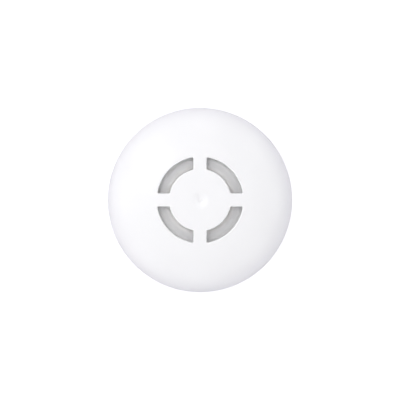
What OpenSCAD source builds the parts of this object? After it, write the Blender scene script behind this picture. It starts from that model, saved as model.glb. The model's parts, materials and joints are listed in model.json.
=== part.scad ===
// Compact battery smoke detector: a smooth pebble-shaped cover with four arc slots, on a twist-off plate.
// Millimetres. The origin is the centre of the mounting face, and +Z points into the room, out of the cover.

/* [Case] */
// Widest diameter of the case
case_d = 65; // [64:0.5:66]
// Height from the mounting face to the crown of the cover
case_h = 28; // [28:0.5:30]
// Height of the widest line of the case
waist_z = 11; // [10.5:0.5:11.5]
// Squareness of the dome, where 2 is an ellipse
dome_power = 2.5; // [2.3:0.05:2.7]
// Wall of the cover at the waist
cover_wall = 1.9; // [1.7:0.1:2.1]
// Wall of the cover at the crown
crown_wall = 1.5; // [1.4:0.1:1.7]
// Height of the lower rim of the cover
rim_z = 7.6; // [7.4:0.1:7.8]

/* [Slots] */
// Inner radius of the four arc slots
slot_r_in = 10.9; // [10.5:0.1:11.2]
// Outer radius of the four arc slots
slot_r_out = 15.15; // [14.5:0.05:15.5]
// Width of the four bridges between the slots
bridge_w = 4.6; // [4:0.1:5]
// Radius of the shallow thumb dimple at the crown
dimple_r = 4; // [3:0.1:4.5]
// Depth of that dimple
dimple_depth = 0.3; // [0.2:0.05:0.4]

/* [Movement] */
// Travel of the cover when it is pressed to test
press_travel = 0.6; // [0.4:0.1:0.7]
// Turn that frees the head from the plate, in degrees
twist_angle = 20; // [18:1:20]
// Travel of the tamper plunger over that turn
tamper_travel = 0.9; // [0.7:0.1:0.9]

/* [Plate] */
// Radius of the mounting plate
plate_r = 24.5; // [24.3:0.1:24.6]
// Thickness of the mounting plate
plate_t = 2; // [1.8:0.1:2]
// Distance between the centres of the two fixing slots
fixing_spacing = 30; // [28:1:32]
// Width of a fixing slot, for a 4 mm screw
fixing_w = 4.2; // [3.8:0.1:4.5]
// Length of a fixing slot from end to end
fixing_l = 8; // [7:0.5:8.5]

/* [Battery] */
// Diameter of the lithium cell
cell_d = 17; // [16.5:0.1:17]
// Length of the lithium cell with its cap
cell_l = 34.3; // [33.5:0.1:34.5]
// Distance of the cell's axis from the centre of the case
cell_y = -8.2; // [-8.4:0.1:-8]
// Height of the cell's axis
cell_z = 12.4; // [12.2:0.1:12.6]

/* [Circuit] */
// Radius of the circuit board
board_r = 25.5; // [25:0.1:25.7]
// Height of the underside of the circuit board
board_z = 9.6; // [9.5:0.1:9.7]
// Thickness of the circuit board
board_t = 1.2; // [1:0.1:1.2]
// Radius of the sensing chamber
chamber_r = 11.4; // [11:0.1:11.4]
// Distance of the sensing chamber's axis from the centre of the case
chamber_y = 13.3; // [13.2:0.1:13.4]
// Number of light-trap vanes in a full circle of the chamber
vane_count = 20; // [18:1:22]

/* [Hidden] */

$fn = 96;
eps = 0.01;
case_r = case_d / 2;
dome_h = case_h - waist_z;

// The case below the waist is a quarter ellipse about this radius and with this depth.
heel_r = 20;
heel_depth = 12.8;

// Rear housing.
skirt_z = 0.6;
recess_r = 24.9;
back_z = 4;
back_t = 1.2;
floor_z = back_z + back_t;
wall_r_in = 26.9;
wall_r_out = 28.1;
wall_top = 15;
vent_count = 30;
vent_pitch = 360 / vent_count;
vent_w = 4;
vent_bottom = floor_z + 0.4;
vent_top = 13.6;

// Snap legs of the cover, in three of the vents.
leg_angles = [90, 210, 330];
leg_w = 4.2;
leg_r = 28.5;
hook_r = 27.1;
hook_bottom = 8.6;
hook_t = 1.2;
hook_window_w = 4.8;
hook_play = 0.1;

// Bayonet lugs of the plate and ledges of the housing.
lug_angles = [30, 150, 270];
ledge_half = 8;
ledge_r = 23.6;
ledge_z = 0.9;
ledge_t = 1;
notch_r = ledge_r - 0.3;
lug_r_in = 22;
lug_top = 3.2;
lug_gap = 0.15;

// Screw-head seats round the fixing slots, and the ring between them that stiffens the plate.
seat_margin = 2;
seat_depth = 0.8;
bead_r_in = 5.5;
bead_r_out = 6.5;
bead_h = 0.7;

// Cell bay of the housing and its two rails.
bay_gap = 0.15;
rail_l = 28;
rail_t = 0.9;
rail_h = 4;

// Tamper plunger, on the Y axis.
tamper_y = 18.5;
tip_r = 1.2;
cam_top = 2.9;
cam_gap = 0.12;
tip_angle = asin(tip_r / tamper_y);
plunger_top = 6.4;
flange_z = floor_z + tamper_travel + 0.05;

// Board level.
board_top = board_z + board_t;
window_gap = 0.25;
contact_w = 9;
contact_t = 0.4;
contact_h = 11;
contact_z = 6.4;
positive_x = cell_l / 2 + 0.05;
negative_x = -cell_l / 2 - 2.2;

// Screw towers and return springs.
tower_angles = [30, 150, 270];
tower_r = 22.6;
tower_top = 19.8;
screw_seat = board_top + 1.5;
spring_spots = [[45, 24.9], [135, 24.9], [235, 24.9], [305, 24.9]];
spring_seat = 13;
spring_top = 19.2;
spring_r = 1.35;
spring_wire = 0.22;

// Sounder and light ring.
deck_z = 21.2;
deck_t = 1;
deck_r = 21.3;
piezo_z = 22;
piezo_r = 10;
collar_r = 10.9;
ring_r_in = 11;
ring_r_out = 16.8;

// The light ring's top slopes down outwards, close under the slots.
ring_top = 25.1;
ring_edge_z = 24.15;
pipe_spots = [[14.6, 5.3], [-14.6, 5.3]];
contact_spots = [[-6.2, 1.75], [7.9, 1.75]];

// Test switch.
test_spot = [21.2, 4];
switch_w = 6;
stem_top = 16;

// Sensing chamber.
chamber_floor = board_top + 1.2;
chamber_roof = 18.4;
emitter_angle = 150;
receiver_angle = 30;
optic_z = 15.2;

// ---- Shared shapes ----

// Outer or inner line of the dome from the crown to the waist, by angle, as a superellipse.
function dome_line(r, h, steps = 24) =
    [for (i = [0 : steps]) let (t = 90 - 90 * i / steps)
        [r * pow(cos(t), 2 / dome_power), waist_z + h * pow(sin(t), 2 / dome_power)]];

// Radius of the case at a height below the waist.
function heel(z) = heel_r + (case_r - heel_r) * sqrt(1 - pow((waist_z - z) / heel_depth, 2));

// Line of the heel between two heights, from the top down.
function heel_line(z_top, z_bottom, steps = 8) =
    [for (i = [0 : steps]) let (z = z_top + (z_bottom - z_top) * i / steps) [heel(z), z]];

// Height of the inside of the cover at a radius.
function inside_z(r) =
    waist_z + (dome_h - crown_wall) * pow(1 - pow(r / (case_r - cover_wall), dome_power), 1 / dome_power);

module ring(r_in, r_out, h) {
    difference() {
        cylinder(r = r_out, h = h);
        translate([0, 0, -1]) cylinder(r = r_in, h = h + 2);
    }
}

// A piece of a ring between two angles.
module sector(r_in, r_out, from, to, h) {
    rotate([0, 0, from]) rotate_extrude(angle = to - from) translate([r_in, 0]) square([r_out - r_in, h]);
}

module at_towers() {
    for (a = tower_angles) rotate([0, 0, a]) translate([tower_r, 0, 0]) children();
}

module at_springs() {
    for (s = spring_spots) rotate([0, 0, s[0]]) translate([s[1], 0, 0]) children();
}

// A slot with round ends along X, centred.
module obround(l, w, h) {
    cube([l - w, w, h], center = true);
    for (side = [-1, 1]) translate([side * (l - w) / 2, 0, 0]) cylinder(d = w, h = h, center = true);
}

// The four arc slots in plan, separated by straight bridges.
module arc_slots() {
    difference() {
        circle(r = slot_r_out);
        circle(r = slot_r_in);
        square([2 * case_r, bridge_w], center = true);
        square([bridge_w, 2 * case_r], center = true);
    }
}

// A coil of round wire, standing on z = 0, that can taper from r0 to r1.
module coil(r0, r1, wire_r, h, turns, sides = 6, per_turn = 14) {
    rings = ceil(turns * per_turn);
    points = [for (i = [0 : rings], k = [0 : sides - 1])
        let (u = i / rings, turn = 360 * turns * u, side = 360 * k / sides,
            r = r0 + (r1 - r0) * u + wire_r * cos(side))
        [r * cos(turn), r * sin(turn), wire_r + (h - 2 * wire_r) * u + wire_r * sin(side)]];
    skin = [for (i = [0 : rings - 1], k = [0 : sides - 1])
        let (a = i * sides + k, b = i * sides + (k + 1) % sides)
        each [[a, b, b + sides], [a, b + sides, a + sides]]];
    first = [for (k = [0 : sides - 1]) sides - 1 - k];
    last = [for (k = [0 : sides - 1]) rings * sides + k];
    polyhedron(points, concat([first], skin, [last]));
}

// ---- Mounting plate ----

// The wedge that pushes the tamper plunger in, falling away as the head turns.
module tamper_cam() {
    start = -tamper_y * sin(tip_angle);
    end = tamper_y * sin(twist_angle - tip_angle);
    translate([0, tamper_y + 1.7, 0]) rotate([90, 0, 0]) mirror([1, 0, 0]) linear_extrude(height = 3.4)
        polygon([[start - 2.5, plate_t - 0.5], [start - 2.5, cam_top], [start, cam_top],
            [end, plate_t], [end, plate_t - 0.5]]);
}

// One lug stands on the plate's edge beside the notch that a ledge passes through.
module plate_lug(angle) {
    lug_z = ledge_z + ledge_t + lug_gap;
    rotate([0, 0, angle - ledge_half]) rotate_extrude(angle = 2 * ledge_half)
        polygon([[lug_r_in, plate_t / 2], [notch_r, plate_t / 2], [notch_r, lug_z], [plate_r, lug_z],
            [plate_r, lug_top], [lug_r_in, lug_top]]);
}

module mounting_plate() {
    color("whitesmoke") {
        difference() {
            cylinder(r = plate_r, h = plate_t);
            for (a = lug_angles) translate([0, 0, -1])
                sector(notch_r, plate_r + 1, a - ledge_half - 0.4, a + ledge_half + twist_angle + 2, 5);
            for (side = [-1, 1]) translate([side * fixing_spacing / 2, 0, 0]) {
                obround(fixing_l, fixing_w, 10);
                translate([0, 0, plate_t])
                    obround(fixing_l + 2 * seat_margin, fixing_w + 2 * seat_margin, 2 * seat_depth);
            }
        }
        for (a = lug_angles) plate_lug(a);
        translate([0, 0, plate_t - eps]) ring(bead_r_in, bead_r_out, bead_h);
        tamper_cam();
    }
}

// ---- Rear housing ----

module housing_shell() {
    outside = heel_line(floor_z, skirt_z);
    inside = [[recess_r, skirt_z], [recess_r, back_z], [0, back_z]];
    rotate_extrude() polygon(concat([[0, floor_z]], outside, inside));
    translate([0, 0, floor_z - eps]) ring(wall_r_in, wall_r_out, wall_top - floor_z);
    for (a = lug_angles) translate([0, 0, ledge_z])
        sector(ledge_r, recess_r + 0.3, a - ledge_half, a + ledge_half, ledge_t);
}

module vents() {
    for (i = [0 : vent_count - 1]) {
        angle = (i + 0.5) * vent_pitch;
        snap = len(search(angle, leg_angles)) > 0;
        w = snap ? hook_window_w : vent_w;
        bottom = snap ? hook_bottom - 1 : vent_bottom;
        top = snap ? hook_bottom + hook_t + hook_play : vent_top;
        rotate([0, 0, angle]) translate([wall_r_in - 1, -w / 2, bottom]) cube([4, w, top - bottom]);
    }
}

module rear_housing() {
    bay_bottom = cell_y - cell_d / 2 - bay_gap;
    bay = [cell_l + 1, cell_d + 2 * bay_gap];
    color("white") {
        difference() {
            housing_shell();
            vents();
            translate([-bay[0] / 2, bay_bottom, back_z - 1]) cube([bay[0], bay[1], 4]);
            translate([0, tamper_y, back_z - 1]) cylinder(r = tip_r + 0.15, h = 4);
        }
        for (y = [bay_bottom - rail_t, bay_bottom + bay[1]])
            translate([-rail_l / 2, y, floor_z - eps]) cube([rail_l, rail_t, rail_h]);
        difference() {
            at_towers() translate([0, 0, floor_z - eps]) cylinder(r = 2.4, h = board_z - floor_z);
            at_towers() translate([0, 0, floor_z + 0.4]) cylinder(r = 1.05, h = 10);
        }
        at_springs() {
            translate([0, 0, floor_z - eps]) cylinder(r = 1.65, h = spring_seat - floor_z);
            translate([0, 0, spring_seat - 1]) cylinder(r = 0.85, h = 2.4);
        }
    }
}

// ---- Front cover ----

module snap_leg() {
    translate([leg_r, -leg_w / 2, hook_bottom]) cube([case_r - cover_wall - leg_r + 0.4, leg_w, 5.4]);
    translate([hook_r, -leg_w / 2, hook_bottom]) cube([leg_r - hook_r + 0.5, leg_w, hook_t]);
}

module cover_shell() {
    inner_r = case_r - cover_wall;
    inner = dome_line(inner_r, dome_h - crown_wall);
    outer = dome_line(case_r, dome_h);
    rotate_extrude() polygon(concat(outer, heel_line(waist_z - 0.5, rim_z, 5), [[inner_r, rim_z]],
        [for (i = [len(inner) - 1 : -1 : 0]) inner[i]]));
}

module front_cover() {
    dimple_ball = (pow(dimple_r, 2) + pow(dimple_depth, 2)) / (2 * dimple_depth);
    color("white") {
        difference() {
            cover_shell();
            translate([0, 0, waist_z]) linear_extrude(height = dome_h + 1) arc_slots();
            translate([0, 0, case_h - dimple_depth + dimple_ball]) sphere(r = dimple_ball);
        }
        translate([0, 0, case_h - 1]) cylinder(r = 0.5, h = 1 - dimple_depth + 0.15);
        for (a = leg_angles) rotate([0, 0, a]) snap_leg();
        at_springs() {
            translate([0, 0, spring_top]) cylinder(r = 1.8, h = inside_z(26.5) - spring_top + 1);
            translate([0, 0, spring_top - 1.4]) cylinder(r = 0.85, h = 2);
        }
        translate([test_spot[0], test_spot[1], stem_top + 0.1])
            cylinder(r = 1.5, h = inside_z(norm(test_spot) + 1.5) - stem_top + 0.9);
    }
}

// ---- Circuit board and the parts on it ----

// The opening that the cell and its two end contacts pass through.
module cell_window() {
    end = cell_l / 2 + window_gap;
    translate([-end, cell_y - cell_d / 2, board_z - 1]) cube([2 * end, cell_d, 4]);
    translate([negative_x - window_gap, cell_y - contact_w / 2 - window_gap, board_z - 1])
        cube([positive_x - negative_x + contact_t + 2 * window_gap, contact_w + 2 * window_gap, 4]);
}

module circuit_board() {
    color("seagreen") difference() {
        translate([0, 0, board_z]) cylinder(r = board_r, h = board_t);
        cell_window();
        at_springs() translate([0, 0, board_z - 1]) cylinder(r = 2.1, h = 4);
        at_towers() translate([0, 0, board_z - 1]) cylinder(r = 1.25, h = 4);
    }
}

module microcontroller() {
    color("dimgray") translate([-20, 4.5, board_top]) {
        translate([-3, -3, 0.1]) cube([6, 6, 1.3]);
        for (turn = [0 : 90 : 270], i = [-3 : 3]) rotate([0, 0, turn])
            translate([2.9, i * 0.8 - 0.15, 0]) cube([0.7, 0.3, 0.4]);
    }
}

module radio_module() {
    color("silver") translate([-6.7, -20.6, board_top]) {
        translate([-3.6, -2.7, 0]) cube([7.2, 5.4, 0.8]);
        translate([-3.1, -2.3, 0.8 - eps]) cube([5.4, 4.6, 1.6]);
    }
}

module antenna_coil() {
    color("peru") {
        translate([4.6, -20.4, board_top + 2.05]) rotate([0, 90, 0]) coil(1.75, 1.75, 0.25, 7, 7);
        translate([4.6 + 0.25, -20.4 + 0.25, board_top]) cylinder(r = 0.25, h = 0.5);
    }
}

module capacitor() {
    color("slategray") translate([21.4, -2, board_top]) {
        translate([-2.1, -2.1, 0]) cube([4.2, 4.2, 0.6]);
        cylinder(r = 2, h = 5.2);
    }
}

module inductor() {
    color("darkslategray") translate([-12.9, 19.5, board_top]) {
        cylinder(r = 1.8, h = 0.6);
        cylinder(r = 1.1, h = 3);
        translate([0, 0, 2.4]) cylinder(r = 1.8, h = 0.6);
    }
}

module thermistor() {
    color("saddlebrown") translate([-24, -2.5, board_top]) {
        for (side = [-1, 1]) translate([0, side * 0.5, 0]) cylinder(r = 0.2, h = 4.2);
        translate([0, 0, 4.6]) sphere(r = 1, $fn = 48);
    }
}

module status_leds() {
    color("ivory") for (p = pipe_spots) translate([p[0], p[1], board_top]) {
        translate([-1.5, -1, 0]) cube([3, 2, 0.5]);
        cylinder(r = 0.9, h = 0.8);
    }
}

module switch_body() {
    difference() {
        translate([-switch_w / 2, -switch_w / 2, 0]) cube([switch_w, switch_w, 2.8]);
        translate([0, 0, 0.4]) cylinder(r = 1.05, h = 4);
    }
}

module test_switch() {
    color("darkgray") translate([test_spot[0], test_spot[1], board_top]) switch_body();
}

module test_switch_stem() {
    color("dimgray") translate([test_spot[0], test_spot[1], board_top + 0.4 + press_travel + 0.1])
        cylinder(r = 1, h = stem_top - board_top - 0.5 - press_travel);
}

module tamper_switch() {
    color("darkgray") translate([0, tamper_y, board_z]) mirror([0, 0, 1]) switch_body();
}

module tamper_switch_stem() {
    color("dimgray") translate([0, tamper_y, plunger_top]) cylinder(r = 1, h = 2.6);
}

module tamper_plunger() {
    color("white") translate([0, tamper_y, 0]) {
        translate([0, 0, cam_top + cam_gap]) cylinder(r = tip_r, h = plunger_top - cam_top - cam_gap);
        translate([0, 0, flange_z]) cylinder(r = 2, h = plunger_top - flange_z);
    }
}

// ---- Sensing chamber ----

module at_chamber() {
    translate([0, chamber_y, 0]) children();
}

// A bent light-trap vane: dark from every side, open to slow air.
module vane() {
    linear_extrude(height = chamber_roof - chamber_floor)
        polygon([[8, 0], [9.5, 1.1], [11.1, 0], [11.1, -0.8], [9.5, 0.3], [8, -0.8]]);
}

// A block with a bore that points at the middle of the chamber.
module optic_holder(angle) {
    rotate([0, 0, angle]) difference() {
        translate([6.6, -2.1, chamber_floor - eps]) cube([3.8, 4.2, chamber_roof - chamber_floor - 0.4]);
        translate([5, 0, optic_z]) rotate([0, 90, 0]) cylinder(r = 1.6, h = 7);
        translate([8.2, -1.6, optic_z]) cube([3, 3.2, 5]);
    }
}

module chamber_base() {
    color("black") at_chamber() {
        difference() {
            translate([0, 0, board_top]) cylinder(r = chamber_r, h = chamber_floor - board_top);
            for (a = [emitter_angle, receiver_angle]) rotate([0, 0, a])
                translate([10.2, -1.8, board_top - 1]) cube([3, 3.6, 5]);
        }
        for (i = [0 : vane_count - 1]) {
            angle = 360 * (i + 0.5) / vane_count;
            if (abs(angle - emitter_angle) > 22 && abs(angle - receiver_angle) > 22)
                translate([0, 0, chamber_floor - eps]) rotate([0, 0, angle]) vane();
        }
        optic_holder(emitter_angle);
        optic_holder(receiver_angle);
        rotate([0, 0, 90]) translate([2.2, -0.5, chamber_floor - eps]) cube([4.6, 1, 5]);
    }
}

module chamber_cap() {
    color("black") at_chamber() {
        translate([0, 0, chamber_roof + 0.05]) cylinder(r = 12.2, h = 1.1);
        translate([0, 0, chamber_roof - 1]) ring(11.8, 12.2, 1.2);
        difference() {
            translate([0, 0, chamber_roof - 1.2]) cylinder(r1 = 3.5, r2 = 6, h = 1.3);
            translate([0, 0, chamber_roof - 1.4]) cylinder(r1 = 2.9, r2 = 5.2, h = 1.3);
        }
    }
}

module insect_screen() {
    color("lightsteelblue") at_chamber() translate([0, 0, chamber_floor + 0.05])
        ring(11.5, 11.7, chamber_roof - chamber_floor - 0.1);
}

// A 3 mm lamp body that points at the middle of the chamber, with two leads down to the board.
module optic(angle) {
    at_chamber() rotate([0, 0, angle]) {
        translate([7.4, 0, optic_z]) rotate([0, 90, 0]) cylinder(r = 1.5, h = 2.8);
        translate([7.4, 0, optic_z]) sphere(r = 1.5, $fn = 48);
        for (side = [-1, 1]) {
            translate([10.1, side * 0.6 - 0.2, optic_z - 0.2]) cube([0.8, 0.4, 0.4]);
            translate([10.5, side * 0.6 - 0.2, board_top]) cube([0.4, 0.4, optic_z - board_top]);
        }
    }
}

module infrared_emitter() {
    color("aliceblue") optic(emitter_angle);
}

module photodiode() {
    color("midnightblue") optic(receiver_angle);
}

module photodiode_shield() {
    color("silver") at_chamber() rotate([0, 0, receiver_angle]) difference() {
        translate([6.7, -2.5, chamber_floor + 0.05]) cube([3.5, 5, chamber_roof - chamber_floor - 0.1]);
        translate([6, -2.2, chamber_floor - 1]) cube([5, 4.4, chamber_roof - chamber_floor + 0.7]);
    }
}

// ---- Sounder deck ----

module sounder_housing() {
    color("whitesmoke") difference() {
        union() {
            translate([0, 0, deck_z]) cylinder(r = deck_r, h = deck_t);
            translate([0, 0, deck_z + deck_t - eps]) ring(piezo_r + 0.1, collar_r, 1);
            translate([0, 0, deck_z + deck_t - eps]) ring(ring_r_out + 0.2, ring_r_out + 1, 1.2);
            at_towers() {
                translate([0, 0, board_top]) cylinder(r = 2.5, h = tower_top - board_top);
                translate([18.5 - tower_r, -1, 17]) cube([2.2, 2, deck_z - 16.9]);
            }
        }
        translate([0, 0, deck_z - 1]) cylinder(r = 9.3, h = 3);
        translate([0, 0, piezo_z]) cylinder(r = piezo_r + 0.1, h = 3);
        at_towers() {
            translate([0, 0, screw_seat]) cylinder(r = 1.95, h = 20);
            translate([0, 0, board_top - 1]) cylinder(r = 1.25, h = 5);
        }
        for (p = pipe_spots) translate([p[0], p[1], deck_z - 1]) cylinder(r = 1.4, h = 3);
        translate([test_spot[0], test_spot[1], deck_z - 1]) cylinder(r = 2.2, h = 4);
    }
}

module piezo_plate() {
    color("gold") translate([0, 0, piezo_z + 0.01]) cylinder(r = piezo_r, h = 0.25);
}

module piezo_ceramic() {
    color("lightgray") translate([0, 0, piezo_z - 0.2]) cylinder(r = 7.2, h = 0.2);
}

module sounder_contacts() {
    color("gold") for (i = [0, 1]) {
        reach = i == 0 ? piezo_z - 0.2 : piezo_z;
        translate([contact_spots[i][0], contact_spots[i][1], board_top])
            coil(0.55, 0.55, 0.15, reach - board_top - 0.02, 8);
    }
}

module light_ring() {
    color("gainsboro") {
        rotate_extrude() polygon([[ring_r_in, deck_z + deck_t], [ring_r_out, deck_z + deck_t],
            [ring_r_out, ring_edge_z], [ring_r_in, ring_top]]);
        for (p = pipe_spots) translate([p[0], p[1], board_top + 1])
            cylinder(r = 1.2, h = deck_z + deck_t - board_top);
    }
}

// ---- Battery ----

module at_cell() {
    translate([-cell_l / 2, cell_y, cell_z]) rotate([0, 90, 0]) children();
}

module battery_can() {
    color("silver") at_cell() {
        cylinder(d = cell_d - 0.3, h = cell_l - 1);
        translate([0, 0, cell_l - 1 - eps]) cylinder(r = 3, h = 1);
    }
}

module battery_sleeve() {
    color("steelblue") at_cell() translate([0, 0, 0.3]) ring(cell_d / 2 - 0.14, cell_d / 2, cell_l - 1.9);
}

module positive_contact() {
    color("silver") {
        translate([positive_x, cell_y - contact_w / 2, contact_z]) cube([contact_t, contact_w, contact_h]);
        translate([positive_x + 0.3, cell_y - 3, board_top]) cube([5, 6, contact_t]);
    }
}

module negative_contact() {
    color("silver") {
        translate([negative_x, cell_y - contact_w / 2, contact_z]) cube([contact_t, contact_w, contact_h]);
        translate([negative_x - 3, cell_y - 3, board_top]) cube([3.1, 6, contact_t]);
    }
}

module negative_spring() {
    seat_x = negative_x + contact_t;
    color("silver") translate([seat_x + 0.02, cell_y, cell_z]) rotate([0, 90, 0])
        coil(3.4, 1.8, 0.25, -cell_l / 2 - seat_x - 0.06, 2.5, 6, 20);
}

// ---- Springs and screws ----

module return_springs() {
    color("silver") at_springs() translate([0, 0, spring_seat + 0.02])
        coil(spring_r, spring_r, spring_wire, spring_top - spring_seat - 0.06, 5);
}

module housing_screws() {
    color("lightgray") at_towers() difference() {
        union() {
            translate([0, 0, screw_seat]) cylinder(r = 1.75, h = 1.2);
            translate([0, 0, screw_seat - 6.4]) cylinder(r = 1, h = 6.5);
        }
        for (turn = [0, 90]) rotate([0, 0, turn])
            translate([-1.1, -0.2, screw_seat + 0.6]) cube([2.2, 0.4, 2]);
    }
}

mounting_plate();
rear_housing();
front_cover();
circuit_board();
sounder_housing();
piezo_plate();
piezo_ceramic();
sounder_contacts();
light_ring();
status_leds();
chamber_base();
chamber_cap();
insect_screen();
infrared_emitter();
photodiode();
photodiode_shield();
battery_can();
battery_sleeve();
positive_contact();
negative_contact();
negative_spring();
microcontroller();
radio_module();
antenna_coil();
capacitor();
inductor();
thermistor();
test_switch();
test_switch_stem();
tamper_switch();
tamper_switch_stem();
tamper_plunger();
return_springs();
housing_screws();
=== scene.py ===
"""Looks of a compact smoke detector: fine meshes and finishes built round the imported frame."""
import json
import logging
import math
from dataclasses import dataclass, field
from enum import Enum
from typing import Sequence

import bmesh
import bpy
from bpy.types import Material, Mesh, Node, NodeSocket, NodeTree, Object
from mathutils import Matrix, Vector


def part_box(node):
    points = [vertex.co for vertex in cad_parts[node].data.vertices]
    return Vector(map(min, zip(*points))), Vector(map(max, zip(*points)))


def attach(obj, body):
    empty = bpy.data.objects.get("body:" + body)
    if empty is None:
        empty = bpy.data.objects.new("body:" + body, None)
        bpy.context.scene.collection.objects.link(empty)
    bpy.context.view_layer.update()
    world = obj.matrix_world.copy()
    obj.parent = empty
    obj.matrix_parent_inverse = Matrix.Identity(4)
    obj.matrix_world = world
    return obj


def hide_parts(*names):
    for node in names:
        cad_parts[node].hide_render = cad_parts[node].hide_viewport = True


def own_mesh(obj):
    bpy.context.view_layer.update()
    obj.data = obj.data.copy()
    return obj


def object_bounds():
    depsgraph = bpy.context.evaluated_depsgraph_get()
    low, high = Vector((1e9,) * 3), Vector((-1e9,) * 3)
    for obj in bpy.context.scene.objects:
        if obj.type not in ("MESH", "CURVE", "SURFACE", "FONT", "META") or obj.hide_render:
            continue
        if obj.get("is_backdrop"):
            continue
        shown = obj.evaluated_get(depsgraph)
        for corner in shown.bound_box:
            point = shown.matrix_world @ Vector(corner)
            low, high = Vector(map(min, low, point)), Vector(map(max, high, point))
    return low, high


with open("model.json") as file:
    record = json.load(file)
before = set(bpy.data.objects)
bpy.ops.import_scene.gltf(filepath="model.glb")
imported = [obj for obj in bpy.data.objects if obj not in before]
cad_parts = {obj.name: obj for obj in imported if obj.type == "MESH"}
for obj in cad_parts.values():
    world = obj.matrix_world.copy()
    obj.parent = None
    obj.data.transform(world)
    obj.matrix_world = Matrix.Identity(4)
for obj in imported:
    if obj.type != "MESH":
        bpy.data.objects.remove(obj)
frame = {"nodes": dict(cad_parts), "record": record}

MM = 0.001
UNIT = 1000.0
AXIS = 0.000001
CRISP_FROM = 38.0
BEVELLED_FROM = 40.0
SUNK = 0.1
LOG = logging.getLogger("smoke_detector")

Point = tuple[float, float, float]
Spot = tuple[float, float]
Colour = tuple[float, float, float]


class Body(Enum):
    """The moving bodies that a piece can ride on."""

    MOUNT = "mount"
    HEAD = "head"
    COVER = "cover"
    TEST_STEM = "test_stem"
    TAMPER_PIN = "tamper_pin"


# ---------------------------------------------------------------------------
# Shader groups and finishes
# ---------------------------------------------------------------------------


class NodeBench:
    """Places and wires nodes in one tree, shader or geometry."""

    def __init__(self, tree: NodeTree) -> None:
        """Take the tree that the nodes go in.

        Args:
            tree: a shader or geometry node tree.
        """
        self.tree = tree
        self.column = 0

    def add(self, kind: str, settings: dict | None = None, **inputs: object) -> Node:
        """Add a node, set its options, and fill or wire its inputs.

        Args:
            kind: the node's type name.
            settings: attributes of the node itself, such as its operation.
            **inputs: input name to a value or an output socket; i0, i1 and so on go by position.

        Returns:
            The new node.
        """
        node = self.tree.nodes.new(kind)
        self.column += 1
        node.location = (200 * self.column, -160 * (self.column % 4))
        for name, value in (settings or {}).items():
            setattr(node, name, value)
        for name, value in inputs.items():
            if name[0] == "i" and name[1:].isdigit():
                socket = node.inputs[int(name[1:])]
            else:
                socket = node.inputs[name.replace("_", " ")]
            self.feed(socket, value)
        return node

    def out(self, kind: str, settings: dict | None = None, **inputs: object) -> NodeSocket:
        """Add a node as add does, and return its first output."""
        return self.add(kind, settings, **inputs).outputs[0]

    def feed(self, socket: NodeSocket, value: object) -> None:
        """Wire an output into a socket, or set the socket's own value.

        Args:
            socket: the input to fill.
            value: an output socket, or a plain value.
        """
        if isinstance(value, NodeSocket):
            self.tree.links.new(value, socket)
        else:
            socket.default_value = value

    def maths(self, operation: str, *values: object) -> NodeSocket:
        """Add a Math node with its inputs in order, and return its output."""
        kind = "ShaderNodeMath"
        return self.out(kind, {"operation": operation}, **{f"i{i}": v for i, v in enumerate(values)})

    def noise(self, vector: object, scale: object, detail: float = 2.0, rough: float = 0.5) -> NodeSocket:
        """Add a 3-D noise of a scale per metre, and return its value, about 0.5 on average."""
        node = self.add("ShaderNodeTexNoise", Vector=vector, Scale=scale, Detail=detail, Roughness=rough)
        return node.outputs["Fac"]

    def band(self, value: object, low: float, high: float, to_low: float, to_high: float) -> NodeSocket:
        """Map a value from one range to another, clamped, and return it."""
        node = self.add("ShaderNodeMapRange", i0=value, i1=low, i2=high, i3=to_low, i4=to_high)
        return node.outputs[0]


def shader_group(name: str, inputs: dict, outputs: Sequence[str]) -> tuple[NodeBench, dict, dict]:
    """Start a shader node group with named sockets.

    Args:
        name: the group's name.
        inputs: input name to its default; None makes a vector with no default.
        outputs: names of the value outputs.

    Returns:
        The bench, the inputs by name, and the group's output sockets by name.
    """
    tree = bpy.data.node_groups.new(name, "ShaderNodeTree")
    for key, value in inputs.items():
        kind = "NodeSocketVector" if value is None else "NodeSocketFloat"
        socket = tree.interface.new_socket(key, in_out="INPUT", socket_type=kind)
        if value is not None:
            socket.default_value = value
    for key in outputs:
        tree.interface.new_socket(key, in_out="OUTPUT", socket_type="NodeSocketFloat")
    bench = NodeBench(tree)
    source = bench.add("NodeGroupInput")
    sink = bench.add("NodeGroupOutput")
    return bench, dict(source.outputs.items()), dict(sink.inputs.items())


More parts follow.
